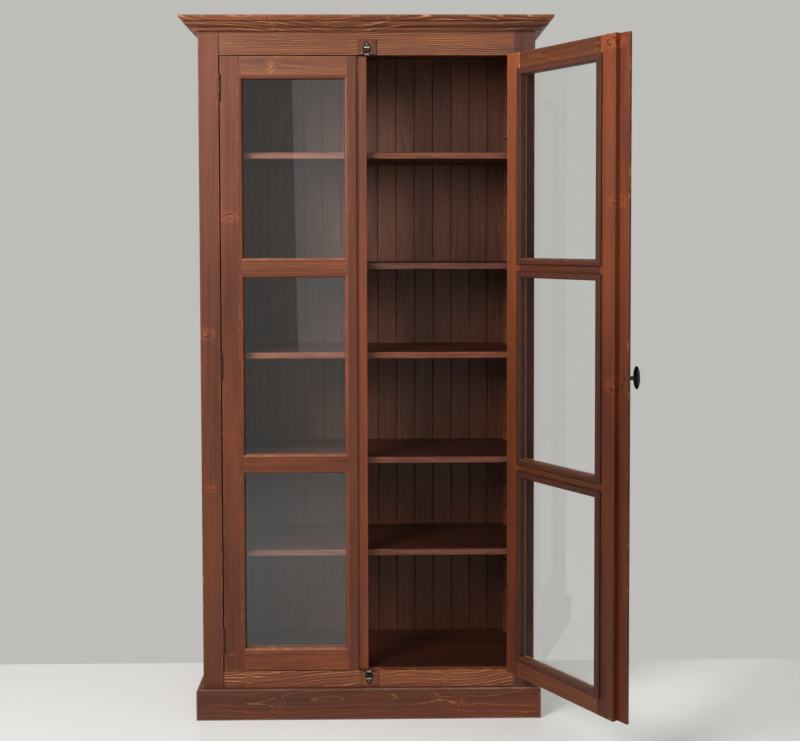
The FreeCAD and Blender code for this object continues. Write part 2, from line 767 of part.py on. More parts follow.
# Stiles of one door, mortised for the rails and rebated at the back for the glass
def make_stiles(side):
    spans = {
        "hinge_stile": (DOOR_EDGE, f"({DOOR_EDGE} + stile_width)"),
        "meeting_stile": (f"({DOOR_FREE} - stile_width)", DOOR_FREE),
    }
    for name, (near, far) in spans.items():
        stile = new_body(f"{side}_door_{name}")
        block(stile, across(side, near, far), (DOOR_FACE, DOOR_BACK), (DOOR_LOW, DOOR_TOP))
        if name == "meeting_stile" and side == "right":
            end = f"{DOOR_FREE} + lip_width"
            face = (DOOR_FACE, f"{DOOR_FACE} + lip_thickness")
            block(stile, across(side, DOOR_FREE, end), face, (DOOR_LOW, DOOR_TOP))
        if name == "meeting_stile" and side == "left":
            step = f"{DOOR_FREE} - (lip_width - meeting_gap + lip_end_gap)"
            face = (DOOR_FACE, f"{DOOR_FACE} + lip_thickness + lip_clearance")
            block(stile, across(side, step, DOOR_FREE), face, (DOOR_LOW, DOOR_TOP), cut=True)
        ease(stile, "edge_round", ("z", "-y"), ("z", "+y"))
        inner_near = f"{far} - rebate_overlap" if name == "hinge_stile" else near
        inner_far = far if name == "hinge_stile" else f"{near} + rebate_overlap"
        for bay in BAYS:
            z = (f"{bay_low(bay)} - rebate_overlap", f"{bay_low(bay)} + {BAY_HEIGHT} + rebate_overlap")
            block(stile, across(side, inner_near, inner_far), (GLASS_FACE, DOOR_BACK), z, cut=True)
        deep_near = f"{far} - door_tenon_length" if name == "hinge_stile" else near
        deep_far = far if name == "hinge_stile" else f"{near} + door_tenon_length"
        for z in tenon_heights():
            y = (TENON_FACE, f"{TENON_FACE} + door_tenon_thickness")
            block(stile, across(side, deep_near, deep_far), y, z, cut=True)
        if name == "meeting_stile" and side == "right":
            drill_for_knob(stile)
        finished(hang(stile, side))


def drill_for_knob(stile):
    """Drill the lip for the knob's screw and countersink it at the back."""
    x, back = f"-({DOOR_FREE} + lip_width - knob_edge_distance)", f"{DOOR_FACE} + lip_thickness"
    hole, head = "knob_screw_radius + knob_clearance", "knob_screw_head_height"
    rod(stile, (x, DOOR_FACE, "knob_height"), "y", "lip_thickness", hole, cut=True)
    taper(stile, (x, back, "knob_height"), "-y", head, "knob_screw_head", "knob_screw_radius", cut=True)


def tenon_heights():
    """Return the height limits of the rail tenons, from the bottom of a door up."""
    spans = [(DOOR_LOW, f"{DOOR_LOW} + end_rail_width"), (f"{DOOR_TOP} - end_rail_width", DOOR_TOP)]
    for bay in BAYS[1:]:
        spans.append((f"{bay_low(bay)} - mid_rail_width", bay_low(bay)))
    return [(f"{low} + door_tenon_shoulder", f"{high} - door_tenon_shoulder") for low, high in spans]


# Rails of a door, drawn about the middle of their lower edge
def make_rail_patterns():
    def rail(label, width, rebates):
        """Return a rail with a tenon at each end and glazing rebates along the given edges."""
        body = new_body(label)
        block(body, about(f"{BAY_WIDTH} / 2"), (DOOR_FACE, DOOR_BACK), ("0", width))
        ease(body, "edge_round", ("x", "-y"), ("x", "+y"))
        for low, high in rebates:
            block(body, about(f"{BAY_WIDTH} / 2"), (GLASS_FACE, DOOR_BACK), (low, high), cut=True)
        block(
            body,
            about(f"{BAY_WIDTH} / 2 + door_tenon_length"),
            (TENON_FACE, f"{TENON_FACE} + door_tenon_thickness"),
            ("door_tenon_shoulder", f"{width} - door_tenon_shoulder"),
        )
        return body

    upper = ("end_rail_width - rebate_overlap", "end_rail_width")
    both = [("0", "rebate_overlap"), ("mid_rail_width - rebate_overlap", "mid_rail_width")]
    return rail("end_rail", "end_rail_width", [upper]), rail("mid_rail", "mid_rail_width", both)


# Sticks round a pane: ovolo mouldings in front, bevelled beads that stand proud behind
def make_stick_patterns():
    def stick(label, length, width, profile):
        """Return a stick mitred at both ends, drawn about the middle of its outer edge."""
        body = new_body(label)
        extrude(body, outline(body, "YZ_Plane", *profile), length, midplane=True)
        for sign in ("1", "-1"):
            tip, heel = f"{sign} * {length} / 2", f"{sign} * ({length} / 2 - {width})"
            cut_through(body, outline(body, "XZ_Plane", [(tip, "0"), (heel, width), (tip, width)]))
        return body

    turn = "(moulding_setback + moulding_width - moulding_flat)"
    moulding = [
        ("moulding_setback", "0"),
        ("moulding_setback", "moulding_flat"),
        (turn, "moulding_width"),
        ("moulding_depth", "moulding_width"),
        ("moulding_depth", "0"),
    ], {1: (turn, "moulding_flat")}
    bead = [
        (BEAD_FACE, "0"),
        (BEAD_FACE, BEAD_WIDTH),
        (f"{BEAD_TOP} - bead_bevel", BEAD_WIDTH),
        (BEAD_TOP, f"{BEAD_WIDTH} - bead_bevel"),
        (BEAD_TOP, "bead_bevel"),
        (f"{BEAD_TOP} - bead_bevel", "0"),
    ], {}
    mouldings = (
        stick("moulding_across", BAY_WIDTH, "moulding_width", moulding),
        stick("moulding_up", BAY_HEIGHT, "moulding_width", moulding),
    )
    beads = (
        stick("bead_across", REBATED_WIDTH, BEAD_WIDTH, bead),
        stick("bead_up", REBATED_HEIGHT, BEAD_WIDTH, bead),
    )
    return mouldings, beads


def frame_places(side, sticks, overlap):
    """Return the places of four sticks round each bay, set back into the members by an overlap."""
    across_stick, up_stick = sticks
    sign = "1" if side == "left" else "-1"
    middle = f"{sign} * {DOOR_MIDDLE}"
    places = []
    for bay in BAYS:
        low, high = f"{bay_low(bay)} - {overlap}", f"{bay_low(bay)} + {BAY_HEIGHT} + {overlap}"
        centre = f"{bay_low(bay)} + {BAY_HEIGHT} / 2"
        reach = f"({BAY_WIDTH} / 2 + {overlap})"
        places.append((across_stick, middle, DOOR_FACE, low))
        places.append((across_stick, middle, DOOR_FACE, high, *FLIP))
        places.append((up_stick, f"{middle} - {reach}", DOOR_FACE, centre, "90", FLIP[1]))
        places.append((up_stick, f"{middle} + {reach}", DOOR_FACE, centre, "-90", FLIP[1]))
    return places


# One door: rails, mouldings, beads and panes
def make_door(side, rails, sticks, pane):
    end_rail, mid_rail = rails
    mouldings, beads = sticks
    sign = "1" if side == "left" else "-1"
    middle = f"{sign} * {DOOR_MIDDLE}"
    make_stiles(side)
    hang(copies(f"{side}_door_bottom_rail", [(end_rail, middle, "0", DOOR_LOW)]), side)
    hang(copies(f"{side}_door_top_rail", [(end_rail, middle, "0", DOOR_TOP, *FLIP)]), side)
    between = [(mid_rail, middle, "0", f"{bay_low(bay)} - mid_rail_width") for bay in BAYS[1:]]
    hang(copies(f"{side}_door_mid_rails", between), side)
    hang(copies(f"{side}_door_mouldings", frame_places(side, mouldings, "0")), side)
    hang(copies(f"{side}_door_glazing_beads", frame_places(side, beads, "rebate_overlap")), side)
    panes = [(pane, middle, GLASS_FACE, f"{bay_low(bay)} + {BAY_HEIGHT} / 2") for bay in BAYS]
    hang(copies(f"{side}_door_panes", panes), side)


def make_pane():
    """Return a pane drawn about the middle of its front face."""
    pane = new_body("pane")
    block(
        pane,
        about(f"{REBATED_WIDTH} / 2 - glass_clearance"),
        ("0", "glass_thickness"),
        about(f"{REBATED_HEIGHT} / 2 - glass_clearance"),
    )
    return pane


# Butt hinges: five knuckles, three on the frame leaf and two on the door leaf
def make_hinges():
    knuckle = "((hinge_length - knuckle_gap * 4) / 5)"
    screw_y = "(hinge_axis_offset + hinge_leaf_depth / 2)"
    screw_steps = (-1, 0, 1)
    wood, face = "door_side_gap / 2", "(door_side_gap / 2 - hinge_leaf_thickness)"
    countersink = ("hinge_leaf_thickness", "hinge_screw_head", "hinge_screw_radius")

    def leaf(label, flank, knuckles):
        """Return a leaf on the left (-1) or right (1) of the axis, with its own knuckles."""
        body = new_body(label)
        x = across("right" if flank < 0 else "left", face, wood)
        plate_end = "hinge_axis_offset + hinge_leaf_depth"
        block(body, x, ("hinge_axis_offset", plate_end), about("hinge_length / 2"))
        for number in knuckles:
            low = f"({number} * ({knuckle} + knuckle_gap) - hinge_length / 2)"
            rod(body, ("0", "0", low), "z", knuckle, "hinge_barrel_radius")
            block(body, x, ("0", "hinge_axis_offset"), (low, f"{low} + {knuckle}"))
        bore = "hinge_pin_radius + hinge_pin_clearance"
        rod(body, ("0", "0", "-hinge_length / 2"), "z", "hinge_length", bore, cut=True)
        for step in screw_steps:
            start = (f"{flank} * {face}", screw_y, f"{step} * hinge_screw_spacing")
            heading = "x" if flank > 0 else "-x"
            taper(body, start, heading, *countersink, cut=True)
        return body

    screw = new_body("hinge_screw")
    taper(screw, ("0", "0", "0"), "x", *countersink)
    rod(screw, ("hinge_leaf_thickness", "0", "0"), "x", "hinge_screw_length", "hinge_screw_radius")

    pin = new_body("hinge_pin")
    cap = "(hinge_length / 2 + knuckle_gap)"
    points = [
        ("0", f"-({cap} + hinge_cap_radius)"),
        ("hinge_cap_radius", f"-{cap}"),
        ("hinge_pin_radius", f"-{cap}"),
        ("hinge_pin_radius", cap),
        ("hinge_cap_radius", cap),
        ("0", f"{cap} + hinge_cap_radius"),
    ]
    turned = pin.newObject("PartDesign::Revolution", "hinge_pin_turned")
    sketch = outline(pin, "XZ_Plane", points, {0: ("0", f"-{cap}"), 4: ("0", cap)})
    turned.Profile = sketch
    turned.ReferenceAxis = (sketch, ["V_Axis"])
    pin.Tip = turned

    frame_knuckles, door_knuckles = (0, 2, 4), (1, 3)
    frame_places_of, pins, frame_screws = [], [], []
    for side, flank in (("left", -1), ("right", 1)):
        frame_leaf = leaf(f"{side}_frame_leaf", flank, frame_knuckles)
        door_leaf = leaf(f"{side}_door_leaf", -flank, door_knuckles)
        axis_x = f"{flank} * {HINGE_X}"
        door_screws = []
        for height in HINGE_HEIGHTS:
            frame_places_of.append((frame_leaf, axis_x, HINGE_Y, height))
            pins.append((pin, axis_x, HINGE_Y, height))
            for step in screw_steps:
                z = f"{height} + {step} * hinge_screw_spacing"
                inward, outward = ("0", "180") if flank > 0 else ("180", "0")
                y = f"{HINGE_Y} + {screw_y}"
                frame_screws.append((screw, f"{axis_x} + {flank} * {face}", y, z, inward))
                door_screws.append((screw, f"-1 * {flank} * {face}", screw_y, z, outward))
        hang(copies(f"{side}_door_hinge_leaves", [(door_leaf, "0", "0", z) for z in HINGE_HEIGHTS]), side)
        hang(copies(f"{side}_door_hinge_screws", door_screws), side)
    copies("hinge_frame_leaves", frame_places_of)
    copies("hinge_pins", pins)
    copies("hinge_frame_screws", frame_screws)


# Roller catches on their blocks, drawn for the frieze; the lower ones are turned over
def make_catches():
    upper = ("0", CATCH_Y, OPENING_TOP)
    lower = ("0", CATCH_Y, OPENING_LOW, *FLIP)

    carrier = new_body("catch_block")
    height = ("0", "catch_block_height")
    block(carrier, about("catch_block_width / 2"), ("0", "catch_block_depth"), height)
    ease(carrier, "edge_round", ("z", "-y"), ("x", "-y"))
    pocket = about("catch_pocket_width / 2")
    block(carrier, pocket, ("0", "catch_pocket_depth"), ("0", "catch_pocket_height"), cut=True)
    copies("catch_blocks", [(carrier, *upper), (carrier, *lower)])

    housing = new_body("catch_housing")
    shell = "(catch_pocket_width / 2 - catch_pocket_clearance)"
    shell_depth = "catch_pocket_depth - catch_pocket_clearance"
    low, shell_top = "catch_plate_margin", "catch_pocket_height - catch_pocket_clearance"
    sketch = outline(housing, "XZ_Plane", *plate_outline())
    extrude(housing, sketch, "catch_plate_thickness")
    block(housing, about(shell), ("0", shell_depth), (low, shell_top))
    block(housing, about(CAVITY_HALF), ("0", CAVITY_BACK), (low, CAVITY_TOP), cut=True)
    block(housing, about(CAVITY_HALF), ("-catch_plate_thickness", "0"), (low, FORK_TOP), cut=True)
    spots = [
        ("(catch_plate_foot + catch_pocket_width) / 4", "catch_screw_low"),
        ("-(catch_plate_foot + catch_pocket_width) / 4", "catch_screw_low"),
        ("0", "catch_screw_high"),
    ]
    plate = "catch_plate_thickness"
    for x, z in spots:
        rod(housing, (x, f"-{plate}", z), "y", plate, "catch_screw_radius", cut=True)
    copies("catch_housings", [(housing, *upper), (housing, *lower)])

    screw = new_body("catch_screw")
    shank = "catch_plate_thickness + catch_screw_length"
    rod(screw, ("0", "0", "0"), "-y", "catch_screw_head_height", "catch_screw_head")
    rod(screw, ("0", "0", "0"), "y", shank, "catch_screw_radius")
    screw_y = f"{CATCH_Y} - catch_plate_thickness"
    places = [(screw, x, screw_y, f"{OPENING_TOP} + {z}") for x, z in spots]
    places += [(screw, x, screw_y, f"{OPENING_LOW} - {z}") for x, z in spots]
    copies("catch_screws", places)

    fork = new_body("catch_fork")
    front, back = "fork_clearance", f"{CAVITY_BACK} - fork_clearance"
    cheek = ("roller_depth - fork_cheek_depth / 2", "roller_depth + fork_cheek_depth / 2")
    block(fork, about(FORK_HALF), (front, back), ("fork_bridge_height", FORK_TOP))
    for side in ("left", "right"):
        flank = across(side, f"{FORK_HALF} - fork_cheek", FORK_HALF)
        block(fork, flank, cheek, ("catch_plate_margin", "fork_bridge_height"))
    bore = "journal_radius + journal_clearance"
    rod(fork, (f"-{FORK_HALF}", "roller_depth", ROLLER_Z), "x", f"{FORK_HALF} * 2", bore, cut=True)

    roller = new_body("catch_roller")
    rod(roller, (f"-{ROLLER_HALF}", "roller_depth", ROLLER_Z), "x", f"{ROLLER_HALF} * 2", "roller_radius")
    rod(roller, (f"-{FORK_HALF}", "roller_depth", ROLLER_Z), "x", f"{FORK_HALF} * 2", "journal_radius")

    spring = new_body("catch_spring")
    seat, length = ("0", "roller_depth", FORK_TOP), f"{CAVITY_TOP} - {FORK_TOP}"
    rod(spring, seat, "z", length, "spring_radius")
    rod(spring, seat, "z", length, "spring_radius - spring_wall", cut=True)

    for name, body in (("plunger", fork), ("roller", roller), ("spring", spring)):
        copies(f"top_catch_{name}", [(body, *upper)])
        copies(f"bottom_catch_{name}", [(body, *lower)])


def plate_outline():
    """Return the catch plate's outline: a flared foot under a pointed arch."""
    foot, waist = "catch_plate_foot / 2", "catch_plate_waist / 2"
    low, ankle = "catch_plate_margin", "catch_plate_foot_height"
    knee = f"({ankle} + {foot} - {waist})"
    spring_line, apex = "catch_plate_waist_height", "catch_plate_height"
    arch = f"((({waist}) ^ 2 + ({apex} - {spring_line}) ^ 2) / catch_plate_waist)"
    points = [
        (foot, low),
        (foot, ankle),
        (waist, knee),
        (waist, spring_line),
        ("0", apex),
        (f"-{waist}", spring_line),
        (f"-{waist}", knee),
        (f"-{foot}", ankle),
        (f"-{foot}", low),
    ]
    centres = {
        1: (foot, knee),
        3: (f"{waist} - {arch}", spring_line),
        4: (f"{arch} - {waist}", spring_line),
        6: (f"-{foot}", knee),
    }
    return points, centres


def lens(label, middle):
    """Return an oval lens with a sharp rim, where two ellipsoids overlap."""
    drop = "sqrt(1 - knob_rim_share ^ 2)"
    swell = f"(knob_thickness / 2 / (1 - {drop}))"
    halves = []
    for name, sign in ((label, "1"), (label + "_front", "-1")):
        half = new_body(name)
        middle_y = f"{middle} + {sign} * {swell} * {drop}"
        radii = ("knob_width / 2 / knob_rim_share", swell, "knob_length / 2 / knob_rim_share")
        oval(half, ("0", middle_y, "0"), *radii)
        halves.append(half)
    overlap = halves[0].newObject("PartDesign::Boolean", label + "_overlap")
    overlap.setObjects(halves[1:])
    overlap.Type = "Common"
    return halves[0]


# Knob, its backplate and screw, and the strike plates, all on the right door
def make_right_door_fittings():
    where = (f"-({DOOR_FREE} + lip_width - knob_edge_distance)", DOOR_FACE, "knob_height")

    knob = lens("knob_pattern", "-knob_projection")
    taper(knob, ("0", "0", "0"), "-y", "knob_projection", "knob_stem_foot", "knob_stem_radius")
    thread = "knob_screw_length - lip_thickness"
    rod(knob, ("0", "0", "0"), "-y", thread, "knob_screw_radius", cut=True)
    hang(copies("knob", [(knob, *where)]), "right")

    plate = new_body("backplate_pattern")
    oval(plate, ("0", "0", "0"), "backplate_width / 2", "backplate_height", "backplate_length / 2")
    half = about("backplate_length / 2")
    block(plate, half, ("0", "backplate_height"), half, cut=True)
    rod(plate, ("0", "0", "0"), "-y", "backplate_height", "knob_stem_foot + knob_clearance", cut=True)
    hang(copies("knob_backplate", [(plate, *where)]), "right")

    screw = new_body("knob_screw_pattern")
    inside = ("0", "lip_thickness", "0")
    taper(screw, inside, "-y", "knob_screw_head_height", "knob_screw_head", "knob_screw_radius")
    rod(screw, inside, "-y", "knob_screw_length", "knob_screw_radius")
    hang(copies("knob_screw", [(screw, *where)]), "right")

    strike = new_body("strike_pattern")
    face = (f"{DOOR_FACE} + strike_margin", f"{DOOR_FACE} + lip_thickness - strike_margin")
    block(strike, about("strike_length / 2"), face, ("0", "strike_thickness"))
    ends = [(strike, f"-{HINGE_X}", "0", DOOR_TOP), (strike, f"-{HINGE_X}", "0", DOOR_LOW, *FLIP)]
    hang(copies("strike_plates", ends), "right")


def main():
    """Build every sub-part, check the document and write the files."""
    make_posts()
    make_side_panels()
    make_rails()
    make_panels()
    make_back()
    make_cornice()
    make_plinth()
    make_racks()
    make_shelves()
    rails, sticks, pane = make_rail_patterns(), make_stick_patterns(), make_pane()
    for side in ("left", "right"):
        make_door(side, rails, sticks, pane)
    make_hinges()
    make_catches()
    make_right_door_fittings()
    doc.recompute()

    failed = [item.Name for item in doc.Objects if {"Invalid", "Error"} & set(item.State)]
    if failed:
        raise RuntimeError(f"failed objects: {failed}")
    for node in NODES:
        shape = node.Shape
        if shape.isNull() or not shape.isValid() or not shape.Solids:
            raise RuntimeError(f"bad shape: {node.Label}")
    for node in NODES:
        node.Shape.exportStep(f"parts/{node.Label}.step")
        print(node.Label, len(node.Shape.Solids), round(node.Shape.Volume))


main()
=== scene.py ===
"""Dress the glazed bookcase: stained pine, clear panes, dark hinges, aged catches and a black knob."""

import json
import logging
import math
from dataclasses import dataclass, field, replace
from enum import Enum
from functools import cached_property
from typing import Callable, Optional, Sequence, Union

import bpy
from mathutils import Matrix, Vector

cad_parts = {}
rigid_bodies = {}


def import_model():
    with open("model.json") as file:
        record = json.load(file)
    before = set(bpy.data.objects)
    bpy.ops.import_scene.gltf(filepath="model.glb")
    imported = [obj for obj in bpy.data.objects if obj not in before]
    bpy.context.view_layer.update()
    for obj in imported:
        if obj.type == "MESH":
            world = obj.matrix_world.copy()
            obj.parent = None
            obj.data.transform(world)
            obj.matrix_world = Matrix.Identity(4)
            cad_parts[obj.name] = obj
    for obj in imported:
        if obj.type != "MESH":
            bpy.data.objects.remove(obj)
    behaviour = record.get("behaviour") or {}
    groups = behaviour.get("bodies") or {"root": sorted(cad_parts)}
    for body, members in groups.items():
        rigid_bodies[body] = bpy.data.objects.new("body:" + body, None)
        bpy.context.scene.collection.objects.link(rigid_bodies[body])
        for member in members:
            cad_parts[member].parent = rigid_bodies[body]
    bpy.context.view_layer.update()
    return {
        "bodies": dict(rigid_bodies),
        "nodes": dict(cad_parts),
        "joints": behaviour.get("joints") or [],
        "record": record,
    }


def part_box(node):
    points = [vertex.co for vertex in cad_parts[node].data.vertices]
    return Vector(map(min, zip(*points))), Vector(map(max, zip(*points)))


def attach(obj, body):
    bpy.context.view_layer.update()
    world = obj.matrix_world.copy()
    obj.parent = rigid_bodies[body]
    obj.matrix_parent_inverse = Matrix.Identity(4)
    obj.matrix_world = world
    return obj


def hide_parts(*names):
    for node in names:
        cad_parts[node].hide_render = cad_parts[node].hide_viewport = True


LOG = logging.getLogger("bookcase")

Socket = bpy.types.NodeSocket
Node = bpy.types.Node
Tree = bpy.types.NodeTree
Material = bpy.types.Material
Piece = bpy.types.Object
Colour = tuple[float, float, float]
Point = tuple[float, float, float]
Box = tuple[Vector, Vector]

# Names of group inputs that are vectors
VECTOR_INPUTS = ("Vector", "Spot", "Centre", "Low", "High")

# Steps of the grain from seed to seed, and of the seed from plank to plank
SEED_STEP = 3.71
PLANK_STEP = 1.37

# A spot far from all knots, in radii, and how far a knot's outline wanders and is squeezed
NO_KNOT = 20.0
KNOT_WOBBLE = 0.012
KNOT_SQUEEZE = (1.35, 0.8)

# How far rings bulge round a knot, over how many radii, and how many years they ripple by
KNOT_BULGE = 0.026
KNOT_SPREAD = 5.0
RIPPLE = 1.1

# The middle of a noise and of a year, and how quickly the noise changes from year to year
NOISE_MIDDLE = 0.5
MID_YEAR = 0.5
YEAR_CHANGE = 0.83

# Where a year's pale line starts and where it is full, and where the groove beside it starts, in line widths
RIDGE_START, RIDGE_FULL, VALLEY_START = 0.6, 0.15, 0.8

# How far lines, fibres and grooves stand out, and how far fibres and lines change the gloss
RIDGE_HEIGHT, FIBRE_HEIGHT, VALLEY_DEPTH = 0.8, 0.3, 0.4
FIBRE_GLOSS, RIDGE_GLOSS = 0.3, 0.06

# How strongly stain shows in grooves, and in the halo, the heart, the rim and the cracks of a knot
VALLEY_STAIN, HALO_STAIN, HEART_STAIN, RIM_STAIN, CRACK_STAIN = 0.8, 0.85, 0.15, 0.85, 0.8

# Where a thin line starts and where it is full, from its middle, and how strongly joints and chips show
THIN_LINE = (0.003, 0.001)
JOINT_SHADE = 0.85
CHIP_SHADE = 0.8

# How strongly painted shade shows in the quirk of a stick and at the glass
QUIRK_SHADE, GLASS_SHADE = 0.7, 0.6

# How far sticks may lie below their box, and how far the grain of level sticks is moved
STICK_SLACK = 0.004
LEVEL_SHIFT = 0.37

# Share of a board before its colour, partly uneven stain and partly painted light and shade, begins to change
# toward its far end
LIGHT_AND_STAIN_START = 0.36

# Tint of a band that took more stain, and half the width of the band's soft edge
BAND_TINT = (0.66, 0.72, 0.86)
BAND_SOFT = 0.002
COAT_ROUGHNESS = 0.25

# Faces that meet at less than this look smooth, and faces this near a way look that way
SMOOTH_ANGLE = math.radians(35.0)
SAME_WAY = 0.9


def srgb(red: int, green: int, blue: int) -> Colour:
    """Return a linear colour for a colour read off a screen.

    Args:
        red: Red, 0 to 255.
        green: Green, 0 to 255.
        blue: Blue, 0 to 255.

    Returns:
        The same colour in linear light.
    """
    def linear(level: int) -> float:
        """Return one channel in linear light."""
        share = level / 255
        return share / 12.92 if share <= 0.04045 else ((share + 0.055) / 1.055) ** 2.4

    return linear(red), linear(green), linear(blue)


class Grain(Enum):
    """The way that a board's grain runs, as the order of its axes: along, across, through."""

    UPRIGHT = ("Z", "X", "Y")
    LEVEL = ("X", "Z", "Y")
    FLAT = ("X", "Y", "Z")
    DEEP = ("Y", "Z", "X")
    SIDE = ("Z", "Y", "X")


@dataclass(frozen=True)
class Relief:
    """How far a surface's bump shows, and how high it stands in metres."""

    strength: float
    height: float


@dataclass(frozen=True)
class PineFinish:
    """A stain on brushed pine: its ground, pale ridges, dark lines, rubbed edges, warm patches and knots."""

    ground: Colour
    ridge: Colour
    shade: Colour
    worn: Colour
    warm: Colour
    knot: Colour = srgb(52, 24, 14)
    roughness: float = 0.42
    specular: float = 0.24
    coat: float = 0.03
    relief: Relief = Relief(0.7, 0.0007)


@dataclass(frozen=True)
class MetalFinish:
    """A metal with patches of tarnish and fine scratches."""

    ground: Colour
    patch: Colour
    roughness: float
    metallic: float = 1.0
    scratch: float = 0.24
    relief: Relief = Relief(0.25, 0.0002)


@dataclass(frozen=True)
class GlassFinish:
    """Clear float glass with the faintest waviness, and the light that it passes on from a lamp."""

    tint: Colour
    passed: Colour
    roughness: float = 0.0
    ior: float = 1.5
    relief: Relief = Relief(0.02, 0.002)


OUTER_PINE = PineFinish(
    srgb(112, 59, 37), srgb(190, 124, 84), srgb(66, 32, 22), srgb(186, 122, 82), srgb(150, 78, 45)
)
PLUM_PINE = PineFinish(
    srgb(86, 46, 35), srgb(150, 92, 66), srgb(56, 28, 22), srgb(140, 96, 76), srgb(108, 58, 42)
)
RUSSET_PINE = PineFinish(
    srgb(116, 60, 37), srgb(172, 102, 62), srgb(68, 31, 19), srgb(190, 130, 90), srgb(148, 75, 42)
)
# Its pale lilac worn colour is partly rubbed edges and partly a painted highlight along the plinth's rounded
# top edge
CHESTNUT_PINE = PineFinish(
    srgb(100, 52, 33), srgb(186, 114, 72), srgb(66, 33, 23), srgb(176, 144, 132), srgb(126, 64, 38),
    knot=srgb(70, 34, 22),
)
TAWNY_PINE = PineFinish(
    srgb(124, 68, 42), srgb(204, 138, 92), srgb(70, 33, 20), srgb(190, 126, 82), srgb(158, 88, 52)
)
INNER_PINE = PineFinish(
    srgb(96, 53, 36), srgb(136, 80, 54), srgb(52, 26, 16), srgb(136, 78, 54), srgb(116, 62, 40), roughness=0.5
)
# A darker copy of the inner pine for the shelves and the floor panel, which paints shade on them
SHELF_PINE_PAINTED_SHADE = PineFinish(
    srgb(62, 30, 19), srgb(92, 49, 32), srgb(36, 16, 10), srgb(122, 70, 50), srgb(78, 38, 23), roughness=0.5
)
DARK_BRONZE = MetalFinish(srgb(80, 62, 50), srgb(46, 36, 31), 0.42, 0.8)
AGED_BRASS = MetalFinish(srgb(62, 48, 36), srgb(30, 24, 19), 0.36, 0.85)
DULL_NICKEL = MetalFinish(srgb(150, 136, 116), srgb(92, 80, 66), 0.4)
BRIGHT_STEEL = MetalFinish(srgb(222, 216, 202), srgb(176, 168, 152), 0.25)
BLACK_IRON = MetalFinish(srgb(20, 20, 20), srgb(34, 34, 33), 0.32, 0.3, 0.1)
CLEAR_GLASS = GlassFinish(srgb(250, 252, 251), srgb(246, 249, 248))


def step(operation: str) -> Callable[..., "Term"]:
    """Return a method of a term that adds one step of arithmetic.

    Args:
        operation: The Math node's operation.

    Returns:
        The method, which takes the other value where there is one.
    """
    def method(self: "Term", *others: "Value") -> "Term":
        """Return the step's result."""
        return self.graph.math(operation, self, *others)

    return method


@dataclass(frozen=True)
class Term:
    """A value in a node tree, so that a shader's arithmetic reads as a formula."""

    graph: "Graph"
    socket: Socket

    __add__ = step("ADD")
    __sub__ = step("SUBTRACT")
    __mul__ = step("MULTIPLY")
    __truediv__ = step("DIVIDE")
    __abs__ = step("ABSOLUTE")
    least = step("MINIMUM")
    most = step("MAXIMUM")
    below = step("LESS_THAN")

    def __rsub__(self, other: float) -> "Term":
        """Return what is left of a number."""
        return self.graph.math("SUBTRACT", other, self)

    def ramp(self, low: "Value", high: "Value", to_low: float = 0.0, to_high: float = 1.0) -> "Term":
        """Stretch a range smoothly onto another.

        Args:
            low: Start of the value's range.
            high: End of the value's range.
            to_low: Result at the start.
            to_high: Result at the end.

        Returns:
            The result.
        """
        ends = (low, high, to_low, to_high)
        node = self.graph.add("ShaderNodeMapRange", self, *ends, interpolation_type="SMOOTHSTEP")
        return Term(self.graph, node.outputs[0])


Value = Union[float, Term]


